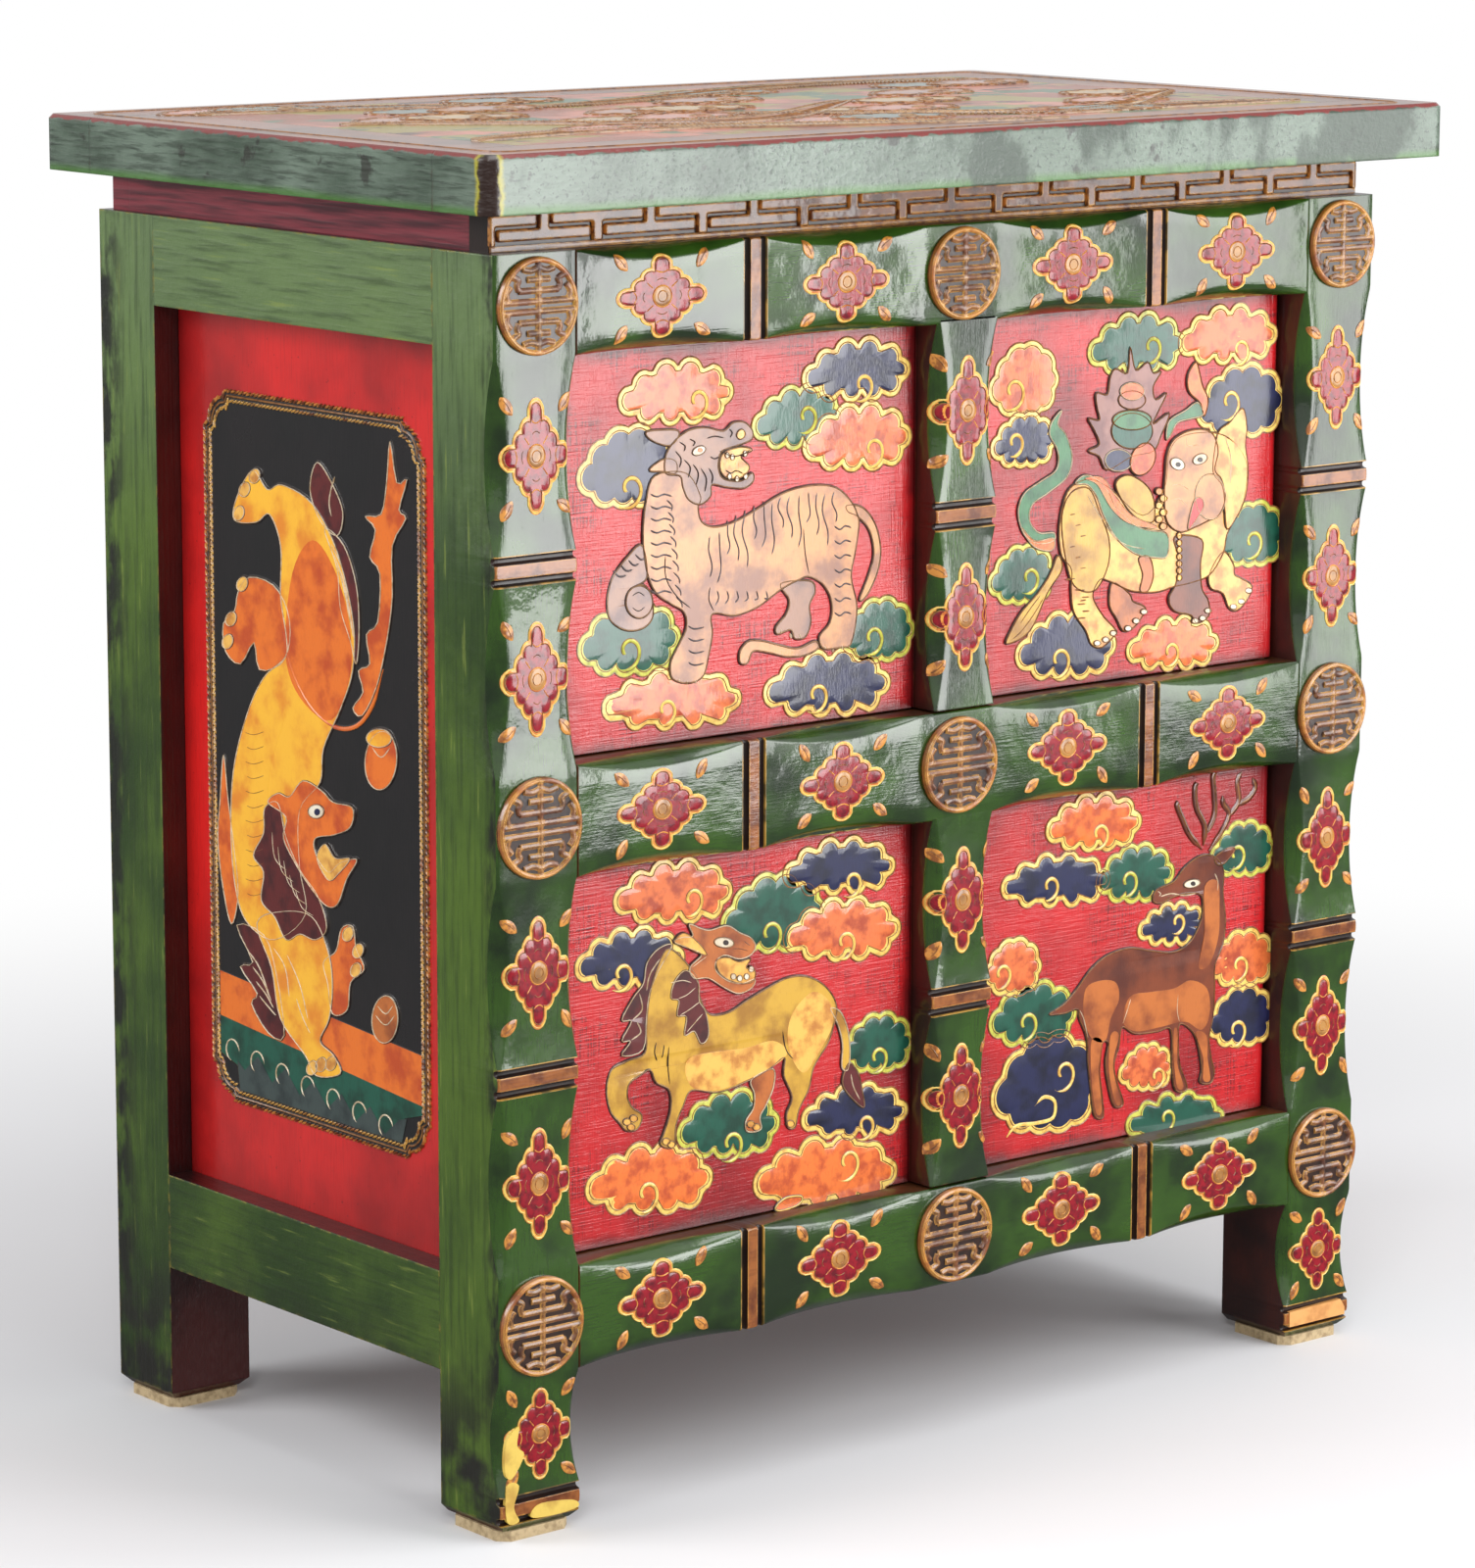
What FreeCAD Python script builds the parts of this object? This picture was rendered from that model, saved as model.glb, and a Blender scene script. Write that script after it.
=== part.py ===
import FreeCAD, Part
import math
import os
from FreeCAD import Vector

os.makedirs("parts", exist_ok=True)

# Painted cabinet: a post and rail body with four pivot-hung doors, a recessed
# waist and a framed top. Millimetres, +Z up, the front faces -Y, and the origin
# is at the bottom centre of the whole cabinet.

# Body
body_width = 550.0
body_depth = 315.0
post_size = 46.0
leg_height = 71.0
leg_foot_chamfer = 4.0

# Foot pads of felt
pad_thickness = 5.0
pad_inset = 2.5
pad_corner_chamfer = 5.0

# Rails
front_bottom_rail_height = 49.0
front_middle_rail_height = 48.0
front_top_rail_height = 43.0
lower_door_opening = 185.0
upper_door_opening = 189.0
front_rail_depth = 40.0
outer_rail_height = 47.0
outer_rail_drop = 2.5
outer_top_rail_height = 43.0
outer_rail_depth = 34.0
tenon_thickness = 12.0
tenon_length = 18.0
tenon_shoulder = 7.0
tenon_setback = 14.0
joint_clearance = 0.15

# Framed panels of the sides and the back
panel_thickness = 8.0
side_panel_recess = 14.0
back_panel_recess = 10.0
groove_depth = 8.0
groove_end_gap = 0.9

# Floor and shelf
board_thickness = 12.0
board_rebate = 10.0
board_gap = 0.5
runner_width = 12.0
runner_height = 12.0

# Carved bamboo form of the front
scallop_depth = 5.1
scallop_margin = 1.0
ring_width = 9.0
ring_groove_width = 2.0
ring_groove_depth = 2.4
foot_ring_height = 6.0

# Medallions over the crossings
medallion_radius = 23.4
top_medallion_radius = 22.0
medallion_base_thickness = 1.6
medallion_relief = 1.6
medallion_rim_width = 2.4
fret_bar_width = 2.2

# Doors
door_recess = 16.0
door_thickness = 12.0
door_top_gap = 2.0
door_bottom_gap = 1.0
door_side_gap = 1.0
door_meeting_gap = 1.0
door_stop_lip = 4.0
door_stop_gap = 0.5
mullion_width = 38.0
mullion_offset = 4.5
pivot_radius = 3.5
pivot_clearance = 0.08
pivot_in_rail = 12.0
pivot_in_door = 20.0
pivot_end_gap = 0.5

# Waist
waist_height = 19.5
waist_thickness = 14.0
waist_front_recess = 10.0
waist_side_recess = 4.5
waist_rear_recess = 5.5

# Top
top_thickness = 26.5
top_side_overhang = 23.0
top_front_overhang = 26.0
top_rear_overhang = 12.0
top_long_member_width = 40.0
top_end_member_width = 48.0
top_corner_radius = 7.0
top_edge_chamfer = 2.0
top_panel_thickness = 14.0
top_tongue_length = 7.0
top_tongue_thickness = 6.0
top_tongue_drop = 4.0

# One overrun for every cut
overrun = 5.0

# Places that follow from the sizes
left = -body_width / 2
right = body_width / 2
front = -(top_front_overhang + body_depth + top_rear_overhang) / 2 + top_front_overhang
rear = front + body_depth
inner_left = left + post_size
inner_right = right - post_size
inner_front = front + post_size
inner_rear = rear - post_size

leg_bottom = pad_thickness
bottom_rail = (leg_bottom + leg_height, leg_bottom + leg_height + front_bottom_rail_height)
middle_rail = (bottom_rail[1] + lower_door_opening,
               bottom_rail[1] + lower_door_opening + front_middle_rail_height)
top_rail = (middle_rail[1] + upper_door_opening,
            middle_rail[1] + upper_door_opening + front_top_rail_height)
body_top = top_rail[1]
outer_bottom_rail = (bottom_rail[0] - outer_rail_drop,
                     bottom_rail[0] - outer_rail_drop + outer_rail_height)
outer_top_rail = (body_top - outer_top_rail_height, body_top)
floor_level = outer_bottom_rail[1]
shelf_level = middle_rail[1]
waist_top = body_top + waist_height
top_level = waist_top + top_thickness

door_front = front + door_recess
door_back = door_front + door_thickness
pivot_y = (door_front + door_back) / 2
pivot_x = door_side_gap + door_thickness / 2
rebate_front = front + front_rail_depth - board_rebate
mullion_left = mullion_offset - mullion_width / 2
mullion_right = mullion_offset + mullion_width / 2

medallion_x = (left + post_size / 2, 0.0, right - post_size / 2)
medallion_z = {"bottom": (bottom_rail[0] + bottom_rail[1]) / 2,
               "middle": (middle_rail[0] + middle_rail[1]) / 2,
               "top": (top_rail[0] + top_rail[1]) / 2}
foot_ring_z = leg_bottom + foot_ring_height + ring_width / 2
ring_x = ((medallion_x[0] + medallion_x[1]) / 2, (medallion_x[1] + medallion_x[2]) / 2)
ring_z = ((medallion_z["bottom"] + medallion_z["middle"]) / 2,
          (medallion_z["middle"] + medallion_z["top"]) / 2)
ring_reach = ring_width / 2 + ring_groove_width


# Simple solids

def block(x, y, z):
    """A block between pairs of x, y and z values."""
    return Part.makeBox(x[1] - x[0], y[1] - y[0], z[1] - z[0], Vector(x[0], y[0], z[0]))


def grown(span, extra):
    """A pair of values with the same extra at each end."""
    return (span[0] - extra, span[1] + extra)


def prism_along_x(outline, x):
    """A solid with an outline of (y, z) points, between two x values."""
    points = [Vector(x[0], y, z) for y, z in outline]
    face = Part.Face(Part.makePolygon(points + points[:1]))
    return face.extrude(Vector(x[1] - x[0], 0, 0))


def mirrored(shape):
    """The same piece on the other side of the cabinet."""
    return shape.mirror(Vector(0, 0, 0), Vector(1, 0, 0))


def save(name, shape):
    """Write one piece."""
    shape.exportStep("parts/" + name + ".step")


# Carving: scalloped front edges and raised bamboo rings

def scallop_cutter(axis, span, edge, outward):
    """A drum that hollows one long front edge between two places along it.

    axis is "x" or "z", span the two places, edge the edge's other coordinate
    besides the front, and outward the side of the edge that is free, -1 or 1.
    """
    half = (span[1] - span[0]) / 2
    radius = (half ** 2 + scallop_depth ** 2) / (2 * scallop_depth)
    away = (radius - scallop_depth) / math.sqrt(2)
    reach = 2 * post_size
    place = (span[0] + span[1]) / 2
    if axis == "z":
        centre = Vector(edge + outward * away, front - away, place)
        along = Vector(outward, 1, 0)
    else:
        centre = Vector(place, front - away, edge + outward * away)
        along = Vector(0, 1, outward)
    along.normalize()
    return Part.makeCylinder(radius, 2 * reach, centre - along * reach, along)


def ring_grooves(axis, place, across):
    """The two grooves that leave a raised ring, cut over the width of a member."""
    grooves = []
    depth = (front - overrun, front + ring_groove_depth)
    for side in (-1, 1):
        middle = place + side * (ring_width + ring_groove_width) / 2
        along = grown((middle, middle), ring_groove_width / 2)
        if axis == "z":
            grooves.append(block(grown(across, overrun), depth, along))
        else:
            grooves.append(block(along, depth, grown(across, overrun)))
    return grooves


def carved(shape, axis, spans, rings, across):
    """A member with its two front edges scalloped and its rings raised."""
    cutters = []
    for span in spans:
        for edge, outward in ((across[0], -1), (across[1], 1)):
            cutters.append(scallop_cutter(axis, span, edge, outward))
    for place in rings:
        cutters += ring_grooves(axis, place, across)
    return shape.cut(cutters)


def post_spans():
    """Where the posts are scalloped, between rings and medallions."""
    middle = medallion_radius + scallop_margin
    top = top_medallion_radius + scallop_margin
    low, centre, high = medallion_z["bottom"], medallion_z["middle"], medallion_z["top"]
    return [(foot_ring_z + ring_reach, low - middle),
            (low + middle, ring_z[0] - ring_reach),
            (ring_z[0] + ring_reach, centre - middle),
            (centre + middle, ring_z[1] - ring_reach),
            (ring_z[1] + ring_reach, high - top)]


def rail_spans(radius):
    """Where the front rails are scalloped, between posts, rings and medallion."""
    near = radius + scallop_margin
    return [(inner_left + scallop_margin, ring_x[0] - ring_reach),
            (ring_x[0] + ring_reach, -near),
            (near, ring_x[1] - ring_reach),
            (ring_x[1] + ring_reach, inner_right - scallop_margin)]


# Joinery between rails and posts

def front_tenon(z, extra):
    """Left tenon of a front rail, or its mortise when extra is the clearance."""
    x = (inner_left - tenon_length - extra, inner_left + overrun * bool(extra))
    y = grown((front + tenon_setback, front + tenon_setback + tenon_thickness), extra)
    return block(x, y, grown((z[0] + tenon_shoulder, z[1] - tenon_shoulder), extra))


def rear_tenon(z, extra):
    """Left tenon of a rear rail, or its mortise."""
    x = (inner_left - tenon_length - extra, inner_left + overrun * bool(extra))
    y = grown((rear - tenon_setback - tenon_thickness, rear - tenon_setback), extra)
    return block(x, y, grown((z[0] + tenon_shoulder, z[1] - tenon_shoulder), extra))


def side_tenon(z, at_front, extra):
    """One tenon of a left side rail, or its mortise in the post there."""
    x = grown((left + tenon_setback, left + tenon_setback + tenon_thickness), extra)
    if at_front:
        y = (inner_front - tenon_length - extra, inner_front + overrun * bool(extra))
    else:
        y = (inner_rear - overrun * bool(extra), inner_rear + tenon_length + extra)
    return block(x, y, grown((z[0] + tenon_shoulder, z[1] - tenon_shoulder), extra))


def side_panel_groove(y, z):
    """The groove that holds the left side panel, over the given y and z."""
    x = (left + side_panel_recess, left + side_panel_recess + panel_thickness)
    return block(grown(x, joint_clearance), y, z)


def back_panel_groove(x, z):
    """The groove that holds the back panel, over the given x and z."""
    y = (rear - back_panel_recess - panel_thickness, rear - back_panel_recess)
    return block(x, grown(y, joint_clearance), z)


# Posts

def foot_chamfered(shape):
    """Take the sharp edge off the foot of a post."""
    edges = [e for e in shape.Edges
             if abs(e.BoundBox.ZMin - leg_bottom) < joint_clearance
             and abs(e.BoundBox.ZMax - leg_bottom) < joint_clearance]
    return shape.makeChamfer(leg_foot_chamfer, edges)


def front_left_post():
    across = (left, inner_left)
    post = foot_chamfered(block(across, (front, inner_front), (leg_bottom, body_top)))
    post = carved(post, "z", post_spans(), (foot_ring_z, ring_z[0], ring_z[1]), across)
    cutters = [front_tenon(z, joint_clearance) for z in (bottom_rail, middle_rail, top_rail)]
    cutters += [side_tenon(z, True, joint_clearance) for z in (outer_bottom_rail, outer_top_rail)]
    cutters.append(side_panel_groove((inner_front - groove_depth, inner_front + overrun),
                                     (outer_bottom_rail[1] - groove_depth, outer_top_rail[0] + groove_depth)))
    return post.cut(cutters)


def rear_left_post():
    post = foot_chamfered(block((left, inner_left), (inner_rear, rear), (leg_bottom, body_top)))
    panel_z = (outer_bottom_rail[1] - groove_depth, outer_top_rail[0] + groove_depth)
    cutters = [rear_tenon(z, joint_clearance) for z in (outer_bottom_rail, outer_top_rail)]
    cutters += [side_tenon(z, False, joint_clearance) for z in (outer_bottom_rail, outer_top_rail)]
    cutters.append(side_panel_groove((inner_rear - overrun, inner_rear + groove_depth), panel_z))
    cutters.append(back_panel_groove((inner_left - groove_depth, inner_left + overrun), panel_z))
    return post.cut(cutters)


# Front rails

def pivot_hole(mirror, z):
    """A hole for a door pivot in a rail."""
    x = inner_left + pivot_x
    hole = Part.makeCylinder(pivot_radius + pivot_clearance, z[1] - z[0], Vector(x, pivot_y, z[0]))
    return mirrored(hole) if mirror else hole


def front_rail(name, z, outline, radius, holes):
    """A carved rail of the front with its tenons, rebates and pivot holes."""
    rail = prism_along_x(outline, (inner_left, inner_right))
    rail = carved(rail, "x", rail_spans(radius), ring_x, z)
    rail = rail.cut([pivot_hole(mirror, hole) for mirror in (False, True) for hole in holes])
    tenon = front_tenon(z, 0)
    save(name, rail.fuse([tenon, mirrored(tenon)]).removeSplitter())


def front_rails():
    back = front + front_rail_depth
    lip = door_back + door_stop_gap
    hole = pivot_in_rail + pivot_end_gap
    low, high = bottom_rail
    seat = floor_level - board_thickness
    front_rail("front_bottom_rail", bottom_rail,
               [(front, low), (back, low), (back, seat), (rebate_front, seat),
                (rebate_front, high), (front, high)],
               medallion_radius, [(high - hole, high + overrun)])
    low, high = middle_rail
    seat = shelf_level - board_thickness
    front_rail("front_middle_rail", middle_rail,
               [(front, low), (lip, low), (lip, low - door_stop_lip), (back, low - door_stop_lip),
                (back, seat), (rebate_front, seat), (rebate_front, high), (front, high)],
               medallion_radius, [(high - hole, high + overrun), (low - overrun, low + hole)])
    low, high = top_rail
    front_rail("front_top_rail", top_rail,
               [(front, low), (lip, low), (lip, low - door_stop_lip), (back, low - door_stop_lip),
                (back, high), (front, high)],
               top_medallion_radius, [(low - overrun, low + hole)])


# Side and rear rails

def left_side_rail(z, groove_z, board_seat):
    """A side rail with its tenons, panel groove and the rebate for the floor."""
    rail = block((left, left + outer_rail_depth), (inner_front, inner_rear), z)
    rail = rail.fuse([side_tenon(z, True, 0), side_tenon(z, False, 0)]).removeSplitter()
    reach = grown((inner_front, inner_rear), groove_depth)
    rail = rail.cut(side_panel_groove(reach, groove_z))
    if board_seat:
        inner = left + outer_rail_depth
        rail = rail.cut(block((inner - board_rebate, inner + overrun),
                              grown((inner_front, inner_rear), tenon_length + overrun),
                              (board_seat, z[1] + overrun)))
    return rail


def rear_rail(z, groove_z, board_seat):
    """A rear rail with its tenons, panel groove and the rebate for the floor."""
    inner = rear - outer_rail_depth
    rail = block((inner_left, inner_right), (inner, rear), z)
    tenon = rear_tenon(z, 0)
    rail = rail.fuse([tenon, mirrored(tenon)]).removeSplitter()
    rail = rail.cut(back_panel_groove(grown((inner_left, inner_right), groove_depth), groove_z))
    if board_seat:
        rail = rail.cut(block(grown((inner_left, inner_right), tenon_length + overrun),
                              (inner - overrun, inner + board_rebate),
                              (board_seat, z[1] + overrun)))
    return rail


def outer_rails():
    seat = floor_level - board_thickness
    low_groove = (outer_bottom_rail[1] - groove_depth, outer_bottom_rail[1] + overrun)
    high_groove = (outer_top_rail[0] - overrun, outer_top_rail[0] + groove_depth)
    bottom = left_side_rail(outer_bottom_rail, low_groove, seat)
    top = left_side_rail(outer_top_rail, high_groove, 0)
    save("left_side_bottom_rail", bottom)
    save("left_side_top_rail", top)
    save("right_side_bottom_rail", mirrored(bottom))
    save("right_side_top_rail", mirrored(top))
    save("rear_bottom_rail", rear_rail(outer_bottom_rail, low_groove, seat))
    save("rear_top_rail", rear_rail(outer_top_rail, high_groove, 0))


# Panels that float in the grooves

def panels():
    reach = groove_depth - groove_end_gap
    z = (outer_bottom_rail[1] - groove_depth, outer_top_rail[0] + reach)
    x = (left + side_panel_recess, left + side_panel_recess + panel_thickness)
    side = block(x, grown((inner_front, inner_rear), reach), z)
    save("left_side_panel", side)
    save("right_side_panel", mirrored(side))
    y = (rear - back_panel_recess - panel_thickness, rear - back_panel_recess)
    save("back_panel", block(grown((inner_left, inner_right), reach), y, z))


# Floor and shelf

def notched_board(x, y, z):
    """A board with its corners cut out round the four posts."""
    board = block(x, y, z)
    notches = []
    for post_x in ((x[0] - overrun, inner_left + board_gap), (inner_right - board_gap, x[1] + overrun)):
        for post_y in ((y[0] - overrun, inner_front + board_gap), (inner_rear - board_gap, y[1] + overrun)):
            notches.append(block(post_x, post_y, grown(z, overrun)))
    return board.cut(notches)


def floor_and_shelf():
    side = outer_rail_depth - board_rebate + joint_clearance
    back = rear - outer_rail_depth + board_rebate - joint_clearance
    rebate = rebate_front + joint_clearance
    save("floor_board", notched_board((left + side, right - side), (rebate, back),
                                      (floor_level - board_thickness, floor_level)))
    side = side_panel_recess + panel_thickness + board_gap
    back = rear - back_panel_recess - panel_thickness - board_gap
    save("shelf_board", notched_board((left + side, right - side), (rebate, back),
                                      (shelf_level - board_thickness, shelf_level)))
    under = shelf_level - board_thickness
    inner = left + side_panel_recess + panel_thickness + joint_clearance
    runner = block((inner, inner + runner_width), (inner_front, inner_rear), (under - runner_height, under))
    save("left_shelf_runner", runner)
    save("right_shelf_runner", mirrored(runner))


# Doors

def door_panel(x, z):
    """A left door whose hinge edge is rounded about its pivot."""
    axis_x = inner_left + pivot_x
    panel = block((axis_x, x), (door_front, door_back), z)
    edge = Part.makeCylinder(door_thickness / 2, z[1] - z[0], Vector(axis_x, pivot_y, z[0]))
    return panel.fuse(edge).removeSplitter()


def door_pivots(z):
    """The lower and the upper dowel of a left door."""
    axis_x = inner_left + pivot_x
    low = z[0] - door_bottom_gap - pivot_in_rail
    high = z[1] + door_top_gap + pivot_in_rail
    lower = Part.makeCylinder(pivot_radius, z[0] + pivot_in_door - low, Vector(axis_x, pivot_y, low))
    upper = Part.makeCylinder(pivot_radius, high - z[1] + pivot_in_door,
                              Vector(axis_x, pivot_y, z[1] - pivot_in_door))
    return lower, upper


def mullion(z):
    """The carved strip that the right doors carry over the meeting line."""
    across = (mullion_left, mullion_right)
    ring = (z[0] + z[1]) / 2
    strip = block(across, (front, door_front), z)
    spans = [(z[0] + scallop_margin, ring - ring_reach), (ring + ring_reach, z[1] - scallop_margin)]
    return carved(strip, "z", spans, (ring,), across)


def doors():
    for level, opening in (("lower", (bottom_rail[1], middle_rail[0])),
                           ("upper", (middle_rail[1], top_rail[0]))):
        z = (opening[0] + door_bottom_gap, opening[1] - door_top_gap)
        lower, upper = door_pivots(z)
        left_door = door_panel(mullion_left - door_meeting_gap, z).cut([lower, upper])
        right_door = mirrored(door_panel(-mullion_left, z).cut([lower, upper]))
        save(level + "_left_door_panel", left_door)
        save(level + "_right_door_panel", right_door)
        save(level + "_right_door_mullion", mullion(z))
        for side, place in (("left", lambda shape: shape), ("right", mirrored)):
            save(level + "_" + side + "_door_pivots", Part.makeCompound([place(lower), place(upper)]))


# Medallions: a disc with a raised rim and a symmetrical fret

def fret_bars(radius):
    """The bars of the fret: one spine, cross bars and hooks, as shares of the radius."""
    inner = radius - medallion_rim_width / 2
    cross_bar_shares = ((0.60, 0.40), (0.20, 0.78))
    hook_shares = ((0.78, 0.20, 0.48), (0.40, 0.60, 0.42))
    bars = [((0.0, 0.0), (-inner, inner))]
    for sign in (-1, 1):
        for height_share, reach_share in cross_bar_shares:
            reach = reach_share * inner
            bars.append(((-reach, reach), (sign * height_share * inner, sign * height_share * inner)))
        for place_share, start_share, end_share in hook_shares:
            for side in (-1, 1):
                x = side * place_share * inner
                ends = sorted((sign * start_share * inner, sign * end_share * inner))
                bars.append(((x, x), tuple(ends)))
    return bars


def medallion(x, z, radius):
    back = front
    face = back - medallion_base_thickness
    toward = Vector(0, -1, 0)
    centre = Vector(x, face, z)
    disc = Part.makeCylinder(radius, medallion_base_thickness, Vector(x, back, z), toward)
    rim = Part.makeCylinder(radius, medallion_relief, centre, toward)
    rim = rim.cut(Part.makeCylinder(radius - medallion_rim_width, medallion_relief, centre, toward))
    within = Part.makeCylinder(radius - medallion_rim_width / 2, medallion_relief, centre, toward)
    bars = []
    for bar_x, bar_z in fret_bars(radius):
        span_x = grown((x + bar_x[0], x + bar_x[1]), fret_bar_width / 2)
        span_z = grown((z + bar_z[0], z + bar_z[1]), fret_bar_width / 2)
        bars.append(block(span_x, (face - medallion_relief, face), span_z))
    fret = bars[0].fuse(bars[1:]).common(within)
    return disc.fuse([rim, fret]).removeSplitter()


def medallions():
    for level in ("bottom", "middle", "top"):
        radius = top_medallion_radius if level == "top" else medallion_radius
        row = [medallion(x, medallion_z[level], radius) for x in medallion_x]
        save(level + "_rail_medallions", Part.makeCompound(row))


# Waist and top

def waist():
    z = (body_top, waist_top)
    x = (left + waist_side_recess, right - waist_side_recess)
    y = (front + waist_front_recess, rear - waist_rear_recess)
    save("front_waist_board", block(x, (y[0], y[0] + waist_thickness), z))
    save("rear_waist_board", block(x, (y[1] - waist_thickness, y[1]), z))
    side = block((x[0], x[0] + waist_thickness), (y[0] + waist_thickness, y[1] - waist_thickness), z)
    save("left_waist_board", side)
    save("right_waist_board", mirrored(side))


def tongue_groove(x, y):
    """The groove for the tongue of the top panel, over the given x and y."""
    high = top_level - top_tongue_drop
    return block(x, y, grown((high - top_tongue_thickness, high), joint_clearance))


def top():
    z = (waist_top, top_level)
    x = (left - top_side_overhang, right + top_side_overhang)
    y = (front - top_front_overhang, rear + top_rear_overhang)
    inner_x = (x[0] + top_end_member_width, x[1] - top_end_member_width)
    inner_y = (y[0] + top_long_member_width, y[1] - top_long_member_width)
    groove = top_tongue_length + groove_end_gap
    frame = block(x, y, z)
    corners = [e for e in frame.Edges if abs(e.BoundBox.ZLength - top_thickness) < joint_clearance]
    frame = frame.makeFillet(top_corner_radius, corners)
    upper = [e for e in frame.Edges if e.BoundBox.ZMin > top_level - joint_clearance]
    frame = frame.makeChamfer(top_edge_chamfer, upper)
    frame = frame.cut([block(inner_x, inner_y, grown(z, overrun)),
                       tongue_groove(grown(inner_x, groove), grown(inner_y, groove))])
    tall = grown(z, overrun)
    long_x = grown(x, overrun)
    save("top_front_member", frame.common(block(long_x, (y[0] - overrun, inner_y[0]), tall)))
    save("top_rear_member", frame.common(block(long_x, (inner_y[1], y[1] + overrun), tall)))
    end = frame.common(block((x[0] - overrun, inner_x[0]), inner_y, tall))
    save("top_left_member", end)
    save("top_right_member", mirrored(end))
    panel = block(grown(inner_x, -joint_clearance), grown(inner_y, -joint_clearance),
                  (top_level - top_panel_thickness, top_level))
    high = top_level - top_tongue_drop
    tongue = block(grown(inner_x, top_tongue_length), grown(inner_y, top_tongue_length),
                   (high - top_tongue_thickness, high))
    save("top_panel", panel.fuse(tongue).removeSplitter())


# Foot pads

def foot_pads():
    for side, x in (("left", (left, inner_left)), ("right", (inner_right, right))):
        for end, y in (("front", (front, inner_front)), ("rear", (inner_rear, rear))):
            pad = block(grown(x, -pad_inset), grown(y, -pad_inset), (0, pad_thickness))
            upright = [e for e in pad.Edges if abs(e.BoundBox.ZLength - pad_thickness) < joint_clearance]
            save(end + "_" + side + "_foot_pad", pad.makeChamfer(pad_corner_chamfer, upright))


def posts():
    for end, post in (("front", front_left_post()), ("rear", rear_left_post())):
        save(end + "_left_post", post)
        save(end + "_right_post", mirrored(post))


posts()
front_rails()
outer_rails()
panels()
floor_and_shelf()
doors()
medallions()
waist()
top()
foot_pads()
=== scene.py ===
import bmesh
import bpy
import math
import numpy as np
from mathutils import Matrix, Vector
from mathutils.geometry import tessellate_polygon


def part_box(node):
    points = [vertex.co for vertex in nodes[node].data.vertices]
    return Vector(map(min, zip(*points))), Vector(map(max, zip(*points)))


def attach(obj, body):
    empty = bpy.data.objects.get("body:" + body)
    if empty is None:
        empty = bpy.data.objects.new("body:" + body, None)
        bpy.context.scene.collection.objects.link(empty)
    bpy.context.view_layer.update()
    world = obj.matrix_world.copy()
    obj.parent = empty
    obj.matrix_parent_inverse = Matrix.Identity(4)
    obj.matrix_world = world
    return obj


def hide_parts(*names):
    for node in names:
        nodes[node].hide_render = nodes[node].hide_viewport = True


# Painted cabinet. Lengths in the drawing code are millimetres, in the row frame:
# +X to the viewer's right, the front faces -Y, +Z up.

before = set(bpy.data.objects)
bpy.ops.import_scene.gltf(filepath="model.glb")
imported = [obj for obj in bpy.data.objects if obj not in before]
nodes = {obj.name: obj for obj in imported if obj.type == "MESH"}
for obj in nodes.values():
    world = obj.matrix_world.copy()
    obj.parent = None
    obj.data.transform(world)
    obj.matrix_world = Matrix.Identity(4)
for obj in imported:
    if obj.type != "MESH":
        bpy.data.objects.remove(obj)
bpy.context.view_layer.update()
MM = 0.001


def span(node, axis):
    """Lowest and highest value of a CAD node along an axis, in millimetres."""
    low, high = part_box(node)
    return (low[axis] / MM, high[axis] / MM)


# Places taken from the frame
X, Y, Z = 0, 1, 2
left_post = span("front_left_post", X)
right_post = span("front_right_post", X)
front = span("front_left_post", Y)[0]
rear = span("rear_left_post", Y)[1]
post_z = span("front_left_post", Z)
rail_z = {level: span(f"front_{level}_rail", Z) for level in ("bottom", "middle", "top")}
rail_y = span("front_middle_rail", Y)
door_y = span("upper_left_door_panel", Y)
mullion_x = span("upper_right_door_mullion", X)
mullion_z = {level: span(f"{level}_right_door_mullion", Z) for level in ("lower", "upper")}
waist_x = span("front_waist_board", X)
waist_y = span("front_waist_board", Y)[0]
waist_z = span("front_waist_board", Z)
top_x = span("top_front_member", X)
top_y = (span("top_front_member", Y)[0], span("top_rear_member", Y)[1])
top_z = span("top_front_member", Z)
side_face = span("left_side_panel", X)[0]
side_y = (span("front_left_post", Y)[1], span("rear_left_post", Y)[0])
post_size = left_post[1] - left_post[0]
level_z = {level: (low + high) / 2 for level, (low, high) in rail_z.items()}
medallion_x = ((left_post[0] + left_post[1]) / 2, 0.0, (right_post[0] + right_post[1]) / 2)

# Sizes of the carved front. The ring bands are narrower and their grooves wider than in the solids.
ring_half = 3.1
groove_width = 3.6
groove_depth = 2.6
foot_ring_rise = 10.5
scallop_leg = 7.4
plain_leg = 1.2
internode_drop = 0.7
medallion_radius = {"bottom": 23.4, "middle": 23.4, "top": 22.0}
ring_x = (medallion_x[0] / 2, medallion_x[2] / 2)
ring_z = ((level_z["bottom"] + level_z["middle"]) / 2, (level_z["middle"] + level_z["top"]) / 2)
stop_lip = 4.0
board_rebate = 10.0
pivot_hole_radius = 3.6
pivot_inset = 7.0
pivot_hole_reach = 12.5
lip_gap = 0.5
foot_chamfer = 4.0
flower_length = 53.0
flower_width = 38.5
flower_share = 0.82


# Materials

def rgb(red, green, blue):
    """A colour given as screen values from 0 to 255."""
    linear = [(v / 255 / 12.92) if v <= 10 else ((v / 255 + 0.055) / 1.055) ** 2.4 for v in (red, green,
                                                                                             blue)]
    return (*linear, 1.0)


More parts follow.
